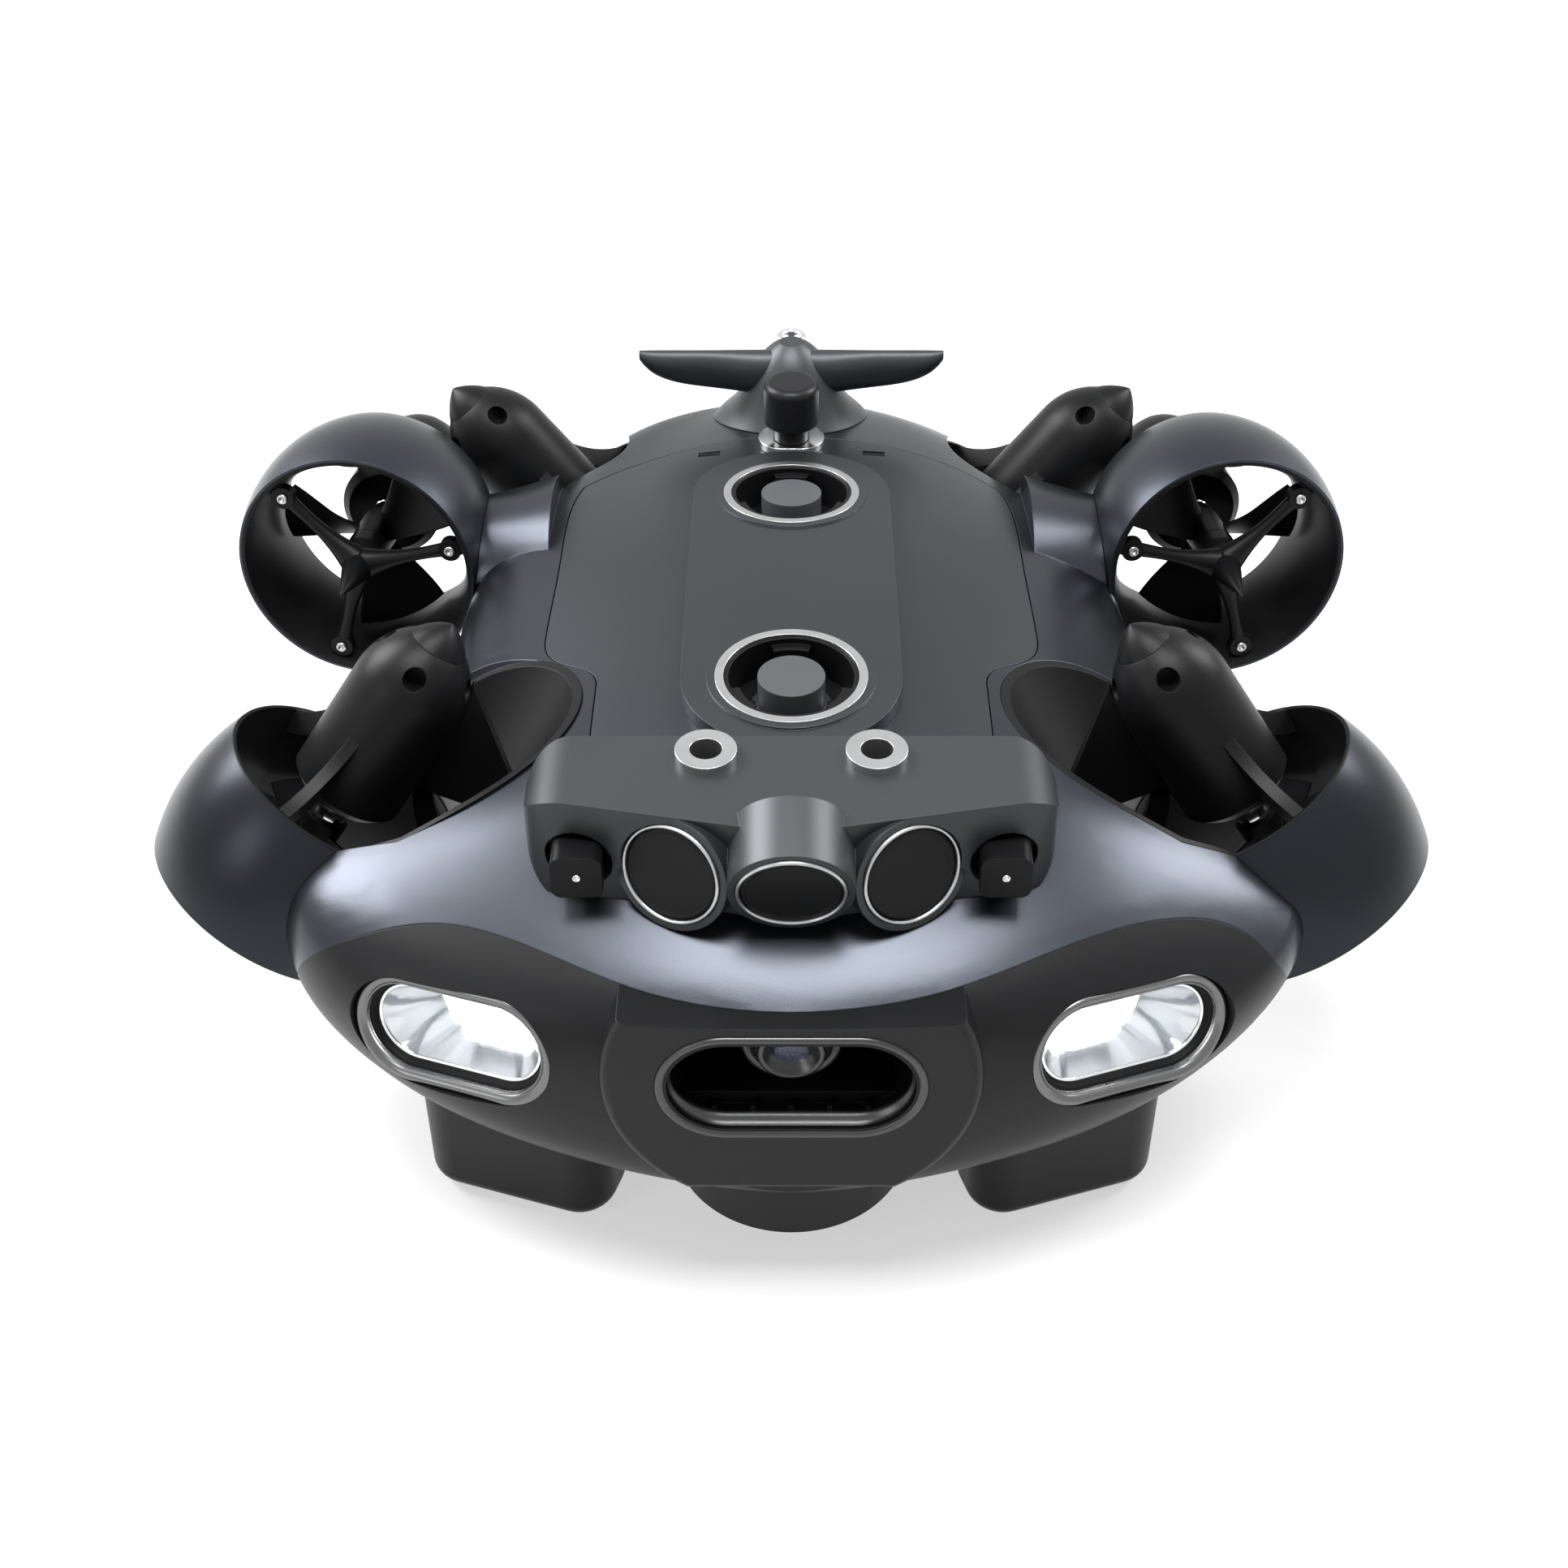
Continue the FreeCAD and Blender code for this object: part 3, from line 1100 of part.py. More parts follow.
def build():
    os.makedirs("parts", exist_ok=True)
    outer = hull_solid()
    clear = hull_solid(-HULL_CLEARANCE)
    nodes = build_hull(outer)
    sockets = (0.0, SOCKET_SPACING)
    nodes["accessory_strip"] = build_strip(clear)
    nodes["socket_rings"] = [socket_ring(y) for y in sockets]
    nodes["socket_cups"] = [socket_cup(y) for y in sockets]
    nodes["socket_posts"] = [socket_post(y) for y in sockets]
    nodes["socket_screws"] = socket_screws(sockets[0]) + socket_screws(sockets[1])
    nodes["keeper_plate"] = keeper_plate(clear)
    nodes["lock_knob"] = lock_knob()
    nodes["tail_fin"] = tail_fin(clear)
    nodes["tow_ring"] = tow_ring()
    nodes["sensor_bar"] = sensor_bar(clear)
    nodes["right_sonar"] = sonar_face("side", clear)
    nodes["left_sonar"] = mirrored(sonar_face("side", clear))
    nodes["centre_sonar"] = sonar_face("mid", clear)
    nodes["sonar_rings"] = both_sides([sonar_ring("side")]) + [sonar_ring("mid")]
    nodes["bar_eyelets"] = [eyelet(-1), eyelet(1)]
    nodes["laser_modules"] = both_sides([laser_module()])
    nodes["right_lamp_housing"] = lamp_housing()
    nodes["left_lamp_housing"] = mirrored(lamp_housing())
    nodes["lamp_reflectors"] = both_sides([lamp_reflector()])
    nodes["lamp_leds"] = both_sides([lamp_led()])
    nodes["lamp_windows"] = both_sides([lamp_window()])
    nodes["camera_frame"] = camera_frame()
    nodes["camera_barrel"] = camera_barrel()
    nodes["camera_lens"] = camera_lens()
    front_foot = foot_block(FRONT_FOOT[0], FRONT_FOOT[1], FRONT_FOOT_TURN, clear)
    rear_foot = foot_block(REAR_FOOT[0], REAR_FOOT[1], 0.0, clear)
    nodes["front_feet"] = both_sides([front_foot])
    nodes["rear_feet"] = both_sides([rear_foot])
    nodes["belly_sensor"] = belly_sensor(clear)
    nodes["battery_pack"] = battery_pack()
    nodes["control_board"] = control_board()
    nodes.update(build_thrusters(outer, clear))
    for name, shape in nodes.items():
        save(name, shape if isinstance(shape, list) else [shape])
    print(len(nodes), "nodes")


build()
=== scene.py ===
import json
import math
import bpy
import bmesh
from mathutils import Matrix, Vector


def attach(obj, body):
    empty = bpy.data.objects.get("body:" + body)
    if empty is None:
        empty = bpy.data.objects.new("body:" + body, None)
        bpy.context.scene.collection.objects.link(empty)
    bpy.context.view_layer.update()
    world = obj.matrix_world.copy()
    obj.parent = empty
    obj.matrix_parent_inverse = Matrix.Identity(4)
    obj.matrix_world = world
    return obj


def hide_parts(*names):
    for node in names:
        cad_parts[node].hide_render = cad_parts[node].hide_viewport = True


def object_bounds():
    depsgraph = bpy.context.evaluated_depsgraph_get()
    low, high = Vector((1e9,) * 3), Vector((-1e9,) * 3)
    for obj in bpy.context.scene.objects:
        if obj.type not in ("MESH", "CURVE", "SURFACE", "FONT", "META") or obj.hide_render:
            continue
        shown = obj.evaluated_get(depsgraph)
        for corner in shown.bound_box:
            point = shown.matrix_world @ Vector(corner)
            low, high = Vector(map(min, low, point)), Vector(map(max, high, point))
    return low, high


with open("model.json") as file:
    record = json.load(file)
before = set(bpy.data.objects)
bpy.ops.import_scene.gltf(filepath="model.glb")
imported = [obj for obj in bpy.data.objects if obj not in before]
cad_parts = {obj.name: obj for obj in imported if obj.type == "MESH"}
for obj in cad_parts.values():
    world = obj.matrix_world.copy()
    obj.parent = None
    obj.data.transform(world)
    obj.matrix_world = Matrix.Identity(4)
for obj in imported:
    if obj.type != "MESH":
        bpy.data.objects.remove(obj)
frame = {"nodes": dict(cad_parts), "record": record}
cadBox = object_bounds()

# ---------- shader helpers


class Wire:
    # a socket whose arithmetic adds Math nodes
    def __init__(self, finish, socket):
        self.finish = finish
        self.socket = socket

    def maths(self, operation, *values):
        return self.finish.node("ShaderNodeMath", {"operation": operation}, values)["Value"]

    def __add__(self, other):
        return self.maths("ADD", self, other)

    def __radd__(self, other):
        return self.maths("ADD", other, self)

    def __sub__(self, other):
        return self.maths("SUBTRACT", self, other)

    def __rsub__(self, other):
        return self.maths("SUBTRACT", other, self)

    def __mul__(self, other):
        return self.maths("MULTIPLY", self, other)

    def __pow__(self, other):
        return self.maths("POWER", self, other)

    def above(self, limit):
        return self.maths("GREATER_THAN", self, limit)

    def below(self, limit):
        return self.maths("LESS_THAN", self, limit)


class Outputs:
    # a node whose outputs are read by name, each as a wire
    def __init__(self, finish, node):
        self.finish = finish
        self.made = node

    def __getitem__(self, name):
        return Wire(self.finish, self.made.outputs[name])


class Finish:
    # one material, with a Principled shader already wired to its output
    def __init__(self, name):
        self.material = bpy.data.materials.new(name)
        self.material.use_nodes = True
        self.tree = self.material.node_tree
        self.tree.nodes.clear()
        self.end = self.tree.nodes.new("ShaderNodeOutputMaterial")
        self.shader = self.tree.nodes.new("ShaderNodeBsdfPrincipled")
        self.tree.links.new(self.shader.outputs[0], self.end.inputs["Surface"])
        self.place = self.node("ShaderNodeTexCoord")["Object"]

    def node(self, kind, settings=None, values=()):
        made = self.tree.nodes.new(kind)
        for key, value in (settings or {}).items():
            setattr(made, key, value)
        pairs = values.items() if isinstance(values, dict) else enumerate(values)
        for key, value in pairs:
            self.feed(made.inputs[key], value)
        return Outputs(self, made)

    def feed(self, socket, value):
        if isinstance(value, Wire):
            self.tree.links.new(value.socket, socket)
        else:
            socket.default_value = value

    def set(self, **values):
        for name, value in values.items():
            self.feed(self.shader.inputs[titles[name]], value)

    def noise(self, scale, detail, roughness=0.5):
        values = {"Vector": self.place, "Scale": scale, "Detail": detail, "Roughness": roughness}
        return self.node("ShaderNodeTexNoise", None, values)["Fac"]

    def blendColours(self, factor, first, second):
        # a Mix node has its colours' inputs at 6 and 7, and their result at output 2
        mix = self.node("ShaderNodeMix", {"data_type": "RGBA"}, {"Factor": factor, 6: first, 7: second})
        return mix[2]

    def bump(self, height, strength, distance):
        # grain on top of edges that catch the light as softly rounded ones do
        rounded = self.node("ShaderNodeBevel", {"samples": 4}, {"Radius": edgeSoftness})["Normal"]
        values = {"Strength": strength, "Distance": distance, "Height": height, "Normal": rounded}
        self.set(normal=self.node("ShaderNodeBump", None, values)["Normal"])

    def vectors(self, operation, *values):
        return self.node("ShaderNodeVectorMath", {"operation": operation}, values)


edgeSoftness = 0.0004
titles = {"colour": "Base Color", "roughness": "Roughness", "metallic": "Metallic", "normal": "Normal",
          "specular": "Specular IOR Level", "alpha": "Alpha", "glow": "Emission Color",
          "glowStrength": "Emission Strength"}


def grey(r, g=None, b=None):
    return (r, r if g is None else g, r if b is None else b, 1.0)


# ---------- finishes

print("stage: finishes")

satin = {"dark": grey(0.034, 0.037, 0.045), "light": grey(0.043, 0.047, 0.056), "metallic": 0.92,
         "roughness": 0.30, "spread": 0.05, "grain": 2600.0, "drift": 9.0}


def satinPaint(name, dark, light, metallic, roughness, spread, grain, drift):
    paint = Finish(name)
    broad = paint.noise(drift, 3.0)
    fine = paint.noise(grain, 2.0)
    paint.set(colour=paint.blendColours(broad, dark, light), metallic=metallic,
              roughness=roughness + (broad - 0.5) * spread + (fine - 0.5) * spread)
    paint.bump(fine, 0.05, 0.0004)
    return paint.material


shellPaint = satinPaint("shellPaint", **satin)
coverPaint = satinPaint("coverPaint", **{**satin, "roughness": 0.36, "dark": grey(0.040, 0.043, 0.049),
                                         "light": grey(0.050, 0.053, 0.060)})

plastic = {"colour": 0.0035, "roughness": 0.38, "specular": 0.12, "grain": 3200.0}


def mouldedPlastic(name, colour, roughness, specular, grain, depth=0.16):
    moulded = Finish(name)
    broad = moulded.noise(14.0, 3.0)
    fine = moulded.noise(grain, 3.0, roughness=0.6)
    tone = moulded.blendColours(broad, grey(colour * 0.85, colour * 0.88, colour * 0.98),
                                grey(colour * 1.15, colour * 1.18, colour * 1.3))
    moulded.set(colour=tone, specular=specular, roughness=roughness + (fine - 0.5) * 0.12)
    moulded.bump(fine, depth, 0.0003)
    return moulded.material


blackPlastic = mouldedPlastic("blackPlastic", **plastic)
bezelPlastic = mouldedPlastic("bezelPlastic", 0.006, 0.36, 0.16, 3000.0, 0.06)
postPlastic = mouldedPlastic("postPlastic", 0.040, 0.45, 0.3, 3000.0, 0.08)
rubber = mouldedPlastic("rubber", 0.004, 0.55, 0.12, 2200.0, 0.2)
sonarRubber = mouldedPlastic("sonarRubber", 0.0045, 0.42, 0.14, 2600.0, 0.1)


def bareMetal(name, tone, roughness, scratches):
    metal = Finish(name)
    fine = metal.noise(1500.0, 3.0)
    worn = metal.noise(120.0, 4.0)
    metal.set(colour=metal.blendColours(worn, grey(tone * 0.93), grey(tone, tone * 1.01, tone * 1.03)),
              metallic=1.0, roughness=roughness + (worn - 0.5) * 0.1)
    metal.bump(fine, scratches, 0.0002)
    return metal.material


ringMetal = bareMetal("ringMetal", 0.46, 0.32, 0.05)
brightSteel = bareMetal("brightSteel", 0.72, 0.16, 0.03)
lampMetal = bareMetal("lampMetal", 0.15, 0.28, 0.04)
mirrorMetal = bareMetal("mirrorMetal", 0.80, 0.12, 0.02)


def glassFinish(name, tint):
    glass = Finish(name)
    glass.set(colour=tint, roughness=0.03, alpha=0.16, specular=0.8)
    return glass.material


clearGlass = glassFinish("clearGlass", grey(0.35, 0.4, 0.45))


def glowing(name, colour, strength):
    lamp = Finish(name)
    lamp.set(colour=grey(0.9), glow=colour, glowStrength=strength, roughness=0.3)
    return lamp.material


ledGlow = glowing("ledGlow", grey(1.0, 0.98, 0.95), 14.0)
boardGreen = mouldedPlastic("boardGreen", 0.03, 0.35, 0.5, 800.0, 0.1)
batteryWrap = mouldedPlastic("batteryWrap", 0.04, 0.4, 0.5, 900.0, 0.1)
lensGlass = glassFinish("lensGlass", grey(0.05, 0.08, 0.3))

rimMetal = bareMetal("rimMetal", 0.070, 0.32, 0.04)
barPaint = satinPaint("barPaint", **{**satin, "metallic": 0.55, "roughness": 0.42,
                                     "dark": grey(0.026, 0.027, 0.031), "light": grey(0.032, 0.034, 0.038)})
screwSteel = bareMetal("screwSteel", 0.45, 0.25, 0.03)
barrelBlack = mouldedPlastic("barrelBlack", 0.010, 0.28, 0.6, 1500.0, 0.03)
stripPaint = satinPaint("stripPaint", **{**satin, "roughness": 0.38, "dark": grey(0.044, 0.047, 0.053),
                                         "light": grey(0.054, 0.057, 0.063)})

bySlot = {"shell": shellPaint, "bezel": bezelPlastic, "ring_metal": ringMetal, "black_plastic": blackPlastic,
          "post_grey": postPlastic, "bright_steel": brightSteel, "sonar_face": sonarRubber,
          "lamp_metal": lampMetal, "reflector": mirrorMetal, "led": ledGlow, "clear": clearGlass,
          "battery": batteryWrap, "board": boardGreen, "thruster": blackPlastic}

slotOf = {row["node"]: row["material_slot"] for row in frame["record"]["subparts"]}

# each thruster: middle of the guard rim or, with a setback, of the motor rim; the way its nose points
# shade: painted shade, the hull's satin made darker on the ducts' outsides, most on the front (0.55) and stern
# (0.8) ducts
thrusters = {
    "front": {"at": (0.139, -0.0097, -0.0358), "nose": (-0.5625, 0.2006, 0.8021), "back": 0.046,
              "up": (0, 1, 0), "roll": 60.0, "shade": 0.55, "strutScrew": 0.0},
    "rear": {"at": (0.152, 0.1003, -0.0293), "nose": (-0.114, 1.0, -0.102), "back": 0.0,
             "up": (0, 0, 1), "roll": 14.3, "shade": 1.0, "strutScrew": 120.0},
    "stern": {"at": (0.083, 0.173, -0.053), "nose": (0.64, 0.10, 0.762), "back": 0.046,
              "up": (0, 1, 0), "roll": 0.0, "shade": 0.8, "strutScrew": 0.0},
}


def thrusterPlace(kind, sign):
    # matrix whose +Z is the thruster's nose, its origin in the guard rim's plane
    values = thrusters[kind]
    nose = Vector(values["nose"]).normalized()
    across = Vector(values["up"]).cross(nose).normalized()
    turn = Matrix((across, nose.cross(across), nose)).transposed().to_4x4()
    place = Matrix.Translation(Vector(values["at"]) - nose * values["back"]) @ turn
    place = place @ Matrix.Rotation(math.radians(values["roll"]), 4, "Z")
    return Matrix.Scale(sign, 4, (1, 0, 0)) @ place


# a cone between the duct's two walls: its radius at the guard rim, how it narrows, and the motor rim's level
ductMiddle = {"radius": 0.0409, "taper": 0.062, "motorRim": 0.0455}


def ductFinish(kind, shade):
    # satin outside, black inside: the two sides are told apart by their distance from the axis; the satin
    # outside is scaled by the thruster's shade, a painted shade that darkens the same satin on the front and
    # stern ducts
    duct = Finish(kind + "DuctFinish")
    middle = thrusterPlace(kind, 1).translation
    nose = thrusterPlace(kind, 1).to_3x3() @ Vector((0, 0, 1))
    mirrored = duct.vectors("ABSOLUTE", duct.place)["Vector"]
    x = duct.node("ShaderNodeSeparateXYZ", None, [mirrored])["X"]
    split = duct.node("ShaderNodeSeparateXYZ", None, [duct.place])
    right = duct.node("ShaderNodeCombineXYZ", None, [x, split["Y"], split["Z"]])["Vector"]
    offset = duct.vectors("SUBTRACT", right, tuple(middle))["Vector"]
    along = duct.vectors("DOT_PRODUCT", offset, tuple(nose))["Value"]
    reach = duct.vectors("LENGTH", offset)["Value"]
    radius = (reach * reach - along * along) ** 0.5
    beyond = radius - ductMiddle["radius"] + along * ductMiddle["taper"]
    outside = beyond.above(0.0) * along.below(ductMiddle["motorRim"])
    fine = duct.noise(3000.0, 3.0)
    broad = duct.noise(14.0, 3.0)
    # painted shade: the satin tones are darkened by this thruster's shade
    dark, light = [tuple(part * shade for part in satin[tone]) for tone in ("dark", "light")]
    satinTone = duct.blendColours(broad, dark, light)
    blackTone = duct.blendColours(broad, grey(0.003), grey(0.005, 0.005, 0.006))
    duct.set(colour=duct.blendColours(outside, blackTone, satinTone), metallic=outside * satin["metallic"],
             specular=0.12, roughness=0.42 - outside * 0.10 + (fine - 0.5) * 0.1)
    duct.bump(fine, 0.06, 0.0003)
    return duct.material


ductFinishes = {kind: ductFinish(kind, thrusters[kind]["shade"]) for kind in thrusters}
for name, node in frame["nodes"].items():
    node.data.materials.clear()
    node.data.materials.append(bySlot[slotOf[name]])
    if name.endswith("_duct"):
        node.data.materials[0] = ductFinishes[name.split("_")[1]]
frame["nodes"]["top_cover"].data.materials[0] = coverPaint
for name in ("sensor_bar", "tail_fin"):
    frame["nodes"][name].data.materials[0] = barPaint
frame["nodes"]["accessory_strip"].data.materials[0] = stripPaint

# ---------- pieces

print("stage: pieces")


def lathe(shape, profile, place=None, steps=64):
    # spins an open outline of (radius, height) pairs about Z and adds it to the shape
    turned = bmesh.new()
    points = [turned.verts.new((radius, 0, height)) for radius, height in profile]
    edges = [turned.edges.new(pair) for pair in zip(points, points[1:])]
    bmesh.ops.spin(turned, geom=points + edges, cent=(0, 0, 0), axis=(0, 0, 1), angle=2 * math.pi,
                   steps=steps, use_merge=True)
    bmesh.ops.remove_doubles(turned, verts=turned.verts, dist=1e-7)
    if place is not None:
        bmesh.ops.transform(turned, matrix=place, verts=turned.verts)
    addTo(shape, turned)


def addTo(shape, extra):
    # joins a second bmesh to a shape
    carrier = bpy.data.meshes.new("carrier")
    extra.to_mesh(carrier)
    extra.free()
    shape.from_mesh(carrier)
    bpy.data.meshes.remove(carrier)


def piece(name, shape, body, finish, stands=()):
    bmesh.ops.recalc_face_normals(shape, faces=shape.faces)
    for face in shape.faces:
        face.smooth = True
    mesh = bpy.data.meshes.new(name)
    shape.to_mesh(mesh)
    shape.free()
    mesh.materials.append(finish)
    made = bpy.data.objects.new(name, mesh)
    bpy.context.scene.collection.objects.link(made)
    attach(made, body)
    if stands:
        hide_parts(*stands)
    return made


def facing(yaw, pitch):
    # turns +Z to a forward direction, yawed outwards and pitched upwards, in degrees
    a = math.radians(yaw)
    b = math.radians(pitch)
    nose = Vector((math.sin(a) * math.cos(b), -math.cos(a) * math.cos(b), math.sin(b)))
    across = Vector((0, 0, 1)).cross(nose).normalized()
    return Matrix((across, nose.cross(across), nose)).transposed().to_4x4()


# screws: a domed head with a round recess, three on each guard's pads and one on the duct's flank
screw = {"radius": 0.0019, "height": 0.0010, "recess": 0.0009, "depth": 0.0007, "armReach": 0.0345,
         "padTop": 0.0020, "flank": 0.0390, "flankLevel": 0.041, "flankLean": 0.17}
guardArms = 3


def screwOutline(radius, height, recess, depth):
    return [(0, height - depth), (recess * 0.86, height - depth), (recess, height - depth * 0.25),
            (recess * 1.12, height), (radius * 0.78, height), (radius * 0.94, height * 0.86),
            (radius, height * 0.55), (radius, 0)]


outline = screwOutline(*[screw[size] for size in ("radius", "height", "recess", "depth")])
heads = bmesh.new()
for kind in thrusters:
    for sign in (1, -1):
        place = thrusterPlace(kind, sign)
        for arm in range(guardArms):
            turn = Matrix.Rotation(2 * math.pi * arm / guardArms, 4, "Z")
            seat = Matrix.Translation((screw["armReach"], 0, screw["padTop"]))
            lathe(heads, outline, place @ turn @ seat @ Matrix.Rotation(math.pi, 4, "X"), 20)
        turn = Matrix.Rotation(math.radians(thrusters[kind]["strutScrew"]), 4, "Z")
        seat = Matrix.Translation((screw["flank"], 0, screw["flankLevel"]))
        lean = Matrix.Rotation(math.pi / 2 - screw["flankLean"], 4, "Y")
        lathe(heads, outline, place @ turn @ seat @ lean, 20)
piece("screwHeads", heads, "hull", screwSteel, ["thruster_screws"])

# socket screws beside each centre post
socketScrew = {"radius": 0.0030, "height": 0.0024, "recess": 0.0013, "depth": 0.0012, "offset": 0.0148,
               "floor": -0.013, "sockets": (0.0, 0.113), "camber": 1.080}


def stripPlace(y):
    # the strip bends to a circle about X, whose top is the front socket's middle
    camber = socketScrew["camber"]
    lean = -math.asin(y / camber)
    height = math.sqrt(camber ** 2 - y ** 2) - camber
    return Matrix.Translation((0, y, height)) @ Matrix.Rotation(lean, 4, "X")


outline = screwOutline(*[socketScrew[size] for size in ("radius", "height", "recess", "depth")])
heads = bmesh.new()
for y in socketScrew["sockets"]:
    for sign in (-1, 1):
        seat = Matrix.Translation((sign * socketScrew["offset"], 0, socketScrew["floor"]))
        lathe(heads, outline, stripPlace(y) @ seat, 28)
piece("socketScrewHeads", heads, "hull", brightSteel, ["socket_screws"])

# thin rings round the sonar faces, which sink in inside them; each place is x, y, z, yaw and pitch
sonar = {"outer": 0.0153, "width": 0.0011, "proud": 0.0003, "depth": 0.004,
         "places": [(0.0335, -0.0875, -0.0025, 27.0, 12.0), (-0.0335, -0.0875, -0.0025, -27.0, 12.0),
                    (0.0, -0.099, 0.001, 0.0, -14.0)]}
rings = bmesh.new()
faces = bmesh.new()
inner = sonar["outer"] - sonar["width"]
for x, y, z, yaw, pitch in sonar["places"]:
    place = Matrix.Translation((x, y, z)) @ facing(yaw, pitch)
    lathe(rings, [(inner, -sonar["depth"]), (inner, -0.0002), (inner + 0.0002, sonar["proud"]),
                  (sonar["outer"] - 0.0002, sonar["proud"]), (sonar["outer"], -0.0002),
                  (sonar["outer"], -sonar["depth"])], place, 96)
    lathe(faces, [(inner, -0.0016), (inner - 0.0006, -0.0004), (inner - 0.0016, -0.0005),
                  (inner - 0.0022, -0.0012), (0.0, -0.0012)], place, 96)
piece("sonarRings", rings, "hull", ringMetal, ["sonar_rings"])
piece("sonarFaces", faces, "hull", sonarRubber)

# camera: stepped barrel, coated glass
lensMiddle = (0, -0.1195, -0.0515)
place = Matrix.Translation(lensMiddle) @ facing(0, 0)
barrel = bmesh.new()
lathe(barrel, [(0.0143, -0.027), (0.0143, -0.0150), (0.0139, -0.0145), (0.0128, -0.0145), (0.0124, -0.0150),
               (0.0120, -0.0150), (0.0117, -0.0144), (0.0104, -0.0142), (0.0101, -0.0138), (0.0098, -0.0110),
               (0.0094, -0.0101), (0.0084, -0.0100), (0.0079, -0.0103), (0.0076, -0.0112), (0.0066, -0.0118),
               (0.0062, -0.0126), (0.0054, -0.0130), (0.0050, -0.0142), (0.0, -0.0142)], place, 96)
piece("cameraBarrel", barrel, "hull", barrelBlack, ["camera_barrel"])
glass = bmesh.new()
lathe(glass, [(0.0053, -0.0135), (0.0050, -0.0126), (0.0036, -0.0116), (0.0018, -0.0111), (0.0, -0.0110)],
      place, 64)
piece("cameraGlass", glass, "hull", lensGlass, ["camera_lens"])

# laser pointers: a bright eye and a steel collar on each
laser = {"x": 0.0595, "z": -0.005, "eyeAt": -0.08618, "eye": 0.0009, "collar": 0.0066, "collarAt": -0.0715}
eyes = bmesh.new()
collars = bmesh.new()
for sign in (-1, 1):
    place = Matrix.Translation((sign * laser["x"], laser["eyeAt"], laser["z"])) @ facing(0, 0)
    eye = laser["eye"]
    lathe(eyes, [(eye * 1.3, -0.0002), (eye * 1.25, 0.0002), (eye, 0.0003), (eye * 0.9, -0.0004),
                 (0.0, -0.0006)], place, 32)
    place = Matrix.Translation((sign * laser["x"], laser["collarAt"], laser["z"])) @ facing(0, 0)
    collar = laser["collar"]
    lathe(collars, [(0.0050, 0.0), (collar, 0.0), (collar, 0.0014), (collar - 0.0004, 0.0019),
                    (0.0052, 0.0019)], place, 48)
piece("laserEyes", eyes, "hull", brightSteel)
piece("laserCollars", collars, "hull", brightSteel)

# lamps: rounded metal bezel, dark gasket, bright inner ring and a glowing dome
lampTrim = {"length": 0.065, "height": 0.036, "middle": (0.0972, -0.0995, -0.055), "yaw": 24.0, "pitch": 13.0,
            "roll": -5.5, "glowLength": 0.026, "glowHeight": 0.015, "glowFloor": -0.0225}


def stadiumBand(shape, length, height, profile, place, capped=False, steps=64):
    # bridges round-ended outlines, each (inset, level) in from the first size
    band = bmesh.new()
    loops = []
    for inset, level in profile:
        before = set(band.edges)
        ring = bmesh.ops.create_circle(band, cap_ends=False, segments=steps, radius=height / 2 - inset)["verts"]
        bmesh.ops.rotate(band, cent=(0, 0, 0), matrix=Matrix.Rotation(math.pi / steps, 3, "Z"), verts=ring)
        for end in (-1, 1):
            half = [vert for vert in ring if vert.co.x * end > 0]
            bmesh.ops.translate(band, vec=(end * (length - height) / 2, 0, level), verts=half)
        loops.append([edge for edge in band.edges if edge not in before])
    for near, far in zip(loops, loops[1:]):
        bmesh.ops.bridge_loops(band, edges=near + far)
    if capped:
        bmesh.ops.edgeloop_fill(band, edges=loops[-1])
    bmesh.ops.transform(band, matrix=place, verts=band.verts)
    addTo(shape, band)


bezels = bmesh.new()
gaskets = bmesh.new()
brights = bmesh.new()
glows = bmesh.new()
for sign in (-1, 1):
    middle = Matrix.Translation(lampTrim["middle"])
    roll = Matrix.Rotation(math.radians(lampTrim["roll"]), 4, "Z")
    place = Matrix.Scale(sign, 4, (1, 0, 0)) @ middle @ facing(lampTrim["yaw"], lampTrim["pitch"]) @ roll
    long, tall = lampTrim["length"], lampTrim["height"]
    stadiumBand(bezels, long, tall,
                [(-0.0001, -0.0020), (0.0000, 0.0004), (0.0005, 0.0010), (0.0014, 0.0012),
                 (0.0024, 0.0008), (0.0034, -0.0002), (0.0037, -0.0012), (0.0037, -0.0022)], place)
    stadiumBand(gaskets, long, tall,
                [(0.0036, -0.0018), (0.0044, -0.0020), (0.0048, -0.0026), (0.0048, -0.0030),
                 (0.0054, -0.0032), (0.0056, -0.0039)], place)
    stadiumBand(brights, long, tall,
                [(0.0054, -0.0036), (0.0058, -0.0034), (0.0063, -0.0035), (0.0065, -0.0039)], place)
    low = lampTrim["glowFloor"]
    stadiumBand(glows, lampTrim["glowLength"], lampTrim["glowHeight"],
                [(0.0, low), (0.0002, low + 0.0016), (0.0014, low + 0.0034), (0.0040, low + 0.0044)],
                place, capped=True)
piece("lampBezels", bezels, "hull", lampMetal)
piece("lampGaskets", gaskets, "hull", rubber)
piece("lampBrightRings", brights, "hull", mirrorMetal)
piece("lampGlows", glows, "hull", ledGlow, ["lamp_leds"])

# camera window: rounded rim and a stepped inner edge
cameraRim = {"length": 0.077, "height": 0.041, "place": (0, -0.1195, -0.0539)}
place = Matrix.Translation(cameraRim["place"]) @ facing(0, 0)
rim = bmesh.new()
stadiumBand(rim, cameraRim["length"], cameraRim["height"],
            [(-0.0001, -0.0020), (0.0001, 0.0002), (0.0006, 0.0007), (0.0014, 0.0008), (0.0022, 0.0004),
             (0.0030, -0.0006), (0.0036, -0.0016), (0.0036, -0.0034), (0.0044, -0.0036), (0.0046, -0.0060)],
            place, steps=80)
piece("cameraRim", rim, "hull", rimMetal)

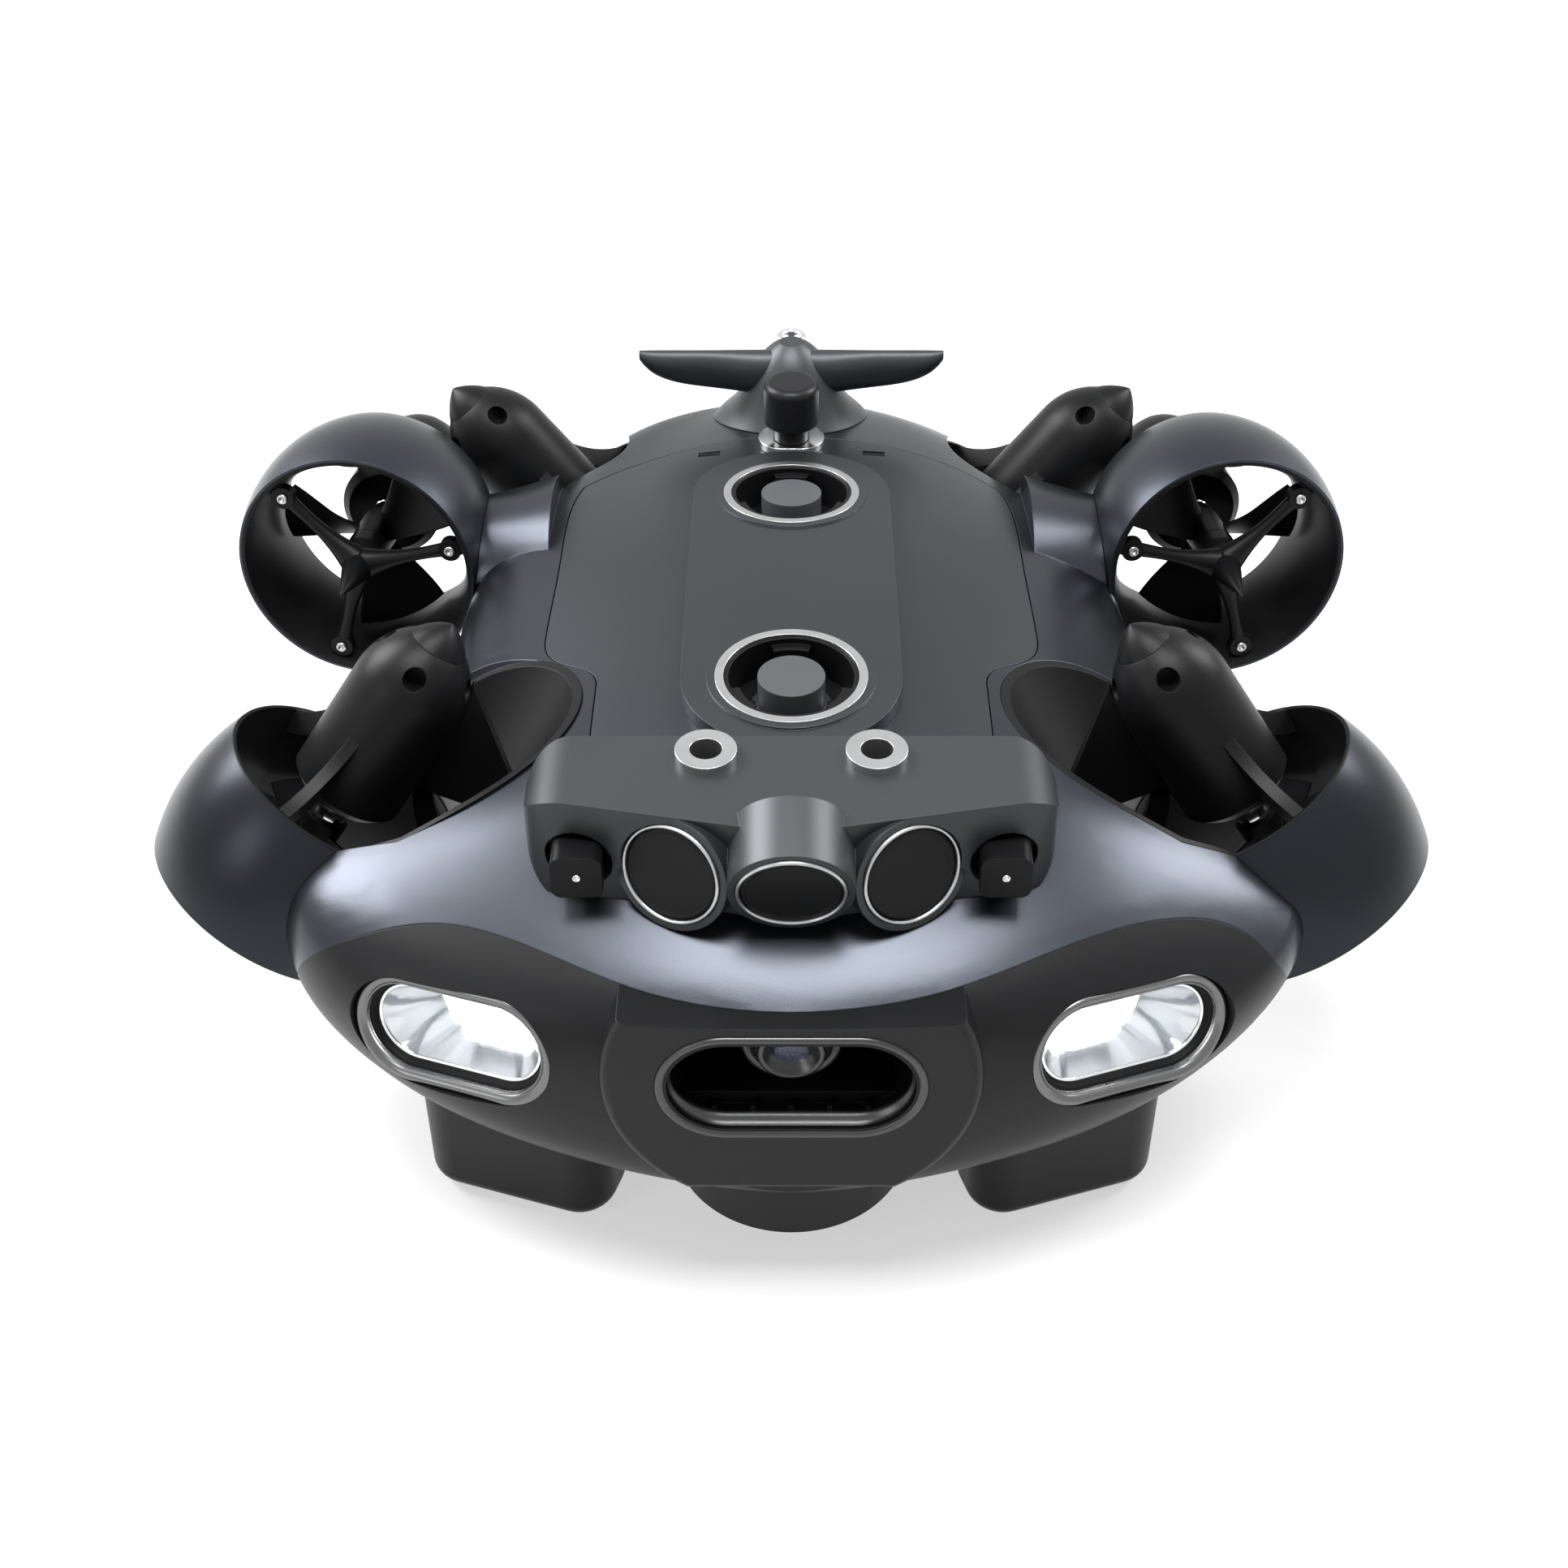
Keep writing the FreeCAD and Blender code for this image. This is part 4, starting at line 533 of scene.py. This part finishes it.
# silver sleeve in front of each motor
sleeve = {"radius": 0.0058, "from": 0.0336, "to": 0.0434}
for kind in thrusters:
    for side, sign in (("right", 1), ("left", -1)):
        shape = bmesh.new()
        a, b, r = sleeve["from"], sleeve["to"], sleeve["radius"]
        lathe(shape, [(0.0, a), (r - 0.0004, a), (r, a + 0.0004), (r, b - 0.0030), (r - 0.0008, b - 0.0026),
                      (r - 0.0008, b - 0.0018), (r, b - 0.0014), (r, b - 0.0004), (r - 0.0004, b), (0.0, b)],
              thrusterPlace(kind, sign), 40)
        body = side + "_" + kind + "_propeller"
        piece(side + kind.title() + "Sleeve", shape, body, brightSteel)

# ---------- camera, light and floor

print("stage: camera and light")

view = {"place": (0.0, -0.5307, 0.4022), "down": 40.0, "lens": 50.0, "sensor": 36.0, "shift": -0.0047}
cameraData = bpy.data.cameras.new("camera")
cameraData.lens = view["lens"]
cameraData.sensor_width = view["sensor"]
cameraData.shift_x = view["shift"]
cameraData.clip_start = 0.01
camera = bpy.data.objects.new("camera", cameraData)
camera.location = view["place"]
camera.rotation_euler = (math.radians(90.0 - view["down"]), 0.0, 0.0)
bpy.context.scene.collection.objects.link(camera)
bpy.context.scene.camera = camera
bpy.context.scene.view_settings.view_transform = "Standard"

focus = (0.0, 0.03, -0.05)
softboxes = {
    "overhead": {"place": (0.0, -0.18, 1.10), "size": (0.80, 0.42), "power": 22.0},
    "leftRear": {"place": (-1.00, 0.50, 0.78), "size": (0.65, 0.80), "power": 36.0},
    "rightRear": {"place": (1.00, 0.50, 0.78), "size": (0.50, 0.70), "power": 19.0},
    "leftFront": {"place": (-0.9, -0.7, 0.45), "size": (0.4, 0.4), "power": 2.0},
}
for name, box in softboxes.items():
    lamp = bpy.data.lights.new(name, "AREA")
    lamp.shape = "RECTANGLE"
    lamp.size, lamp.size_y = box["size"]
    lamp.energy = box["power"]
    holder = bpy.data.objects.new(name, lamp)
    holder.location = box["place"]
    aim = Vector(focus) - Vector(box["place"])
    holder.rotation_euler = aim.to_track_quat("-Z", "Y").to_euler()
    bpy.context.scene.collection.objects.link(holder)


def raysSeen(finish):
    # 1 for the rays that show the background: the camera's, mirrored ones and those through glass
    path = finish.node("ShaderNodeLightPath")
    return (path["Is Camera Ray"] + path["Is Glossy Ray"] + path["Is Transmission Ray"]).above(0.5)


class Sky(Finish):
    # the world's own tree, with one background shader
    def __init__(self, world):
        world.use_nodes = True
        self.tree = world.node_tree
        self.tree.nodes.clear()
        self.end = self.tree.nodes.new("ShaderNodeOutputWorld")
        self.shader = self.tree.nodes.new("ShaderNodeBackground")
        self.tree.links.new(self.shader.outputs[0], self.end.inputs["Surface"])


world = bpy.data.worlds.new("studio")
bpy.context.scene.world = world
sky = Sky(world)
ambient = 0.30
seen = raysSeen(sky)
sky.feed(sky.shader.inputs["Color"], grey(1.0))
sky.feed(sky.shader.inputs["Strength"], seen * (1.0 - ambient) + ambient)

floorValues = {"size": 8.0, "drop": 0.0004, "shade": 0.55}
floorMesh = bmesh.new()
bmesh.ops.create_grid(floorMesh, x_segments=1, y_segments=1, size=floorValues["size"] / 2)
bmesh.ops.translate(floorMesh, vec=(0, 0, cadBox[0].z - floorValues["drop"]), verts=floorMesh.verts)
floorData = bpy.data.meshes.new("floor")
floorMesh.to_mesh(floorData)
floor = bpy.data.objects.new("floor", floorData)
bpy.context.scene.collection.objects.link(floor)
paleFloor = Finish("paleFloor")
paleFloor.set(colour=grey(0.85), roughness=0.8, specular=0.2)
glowFloor = paleFloor.node("ShaderNodeEmission", None, {"Color": grey(1.0), "Strength": 1.0})["Emission"]
both = paleFloor.node("ShaderNodeMixShader")
paleFloor.feed(both.made.inputs[0], raysSeen(paleFloor) * floorValues["shade"])
paleFloor.tree.links.new(paleFloor.shader.outputs[0], both.made.inputs[1])
paleFloor.tree.links.new(glowFloor.socket, both.made.inputs[2])
paleFloor.tree.links.new(both.made.outputs[0], paleFloor.end.inputs["Surface"])
floorData.materials.append(paleFloor.material)
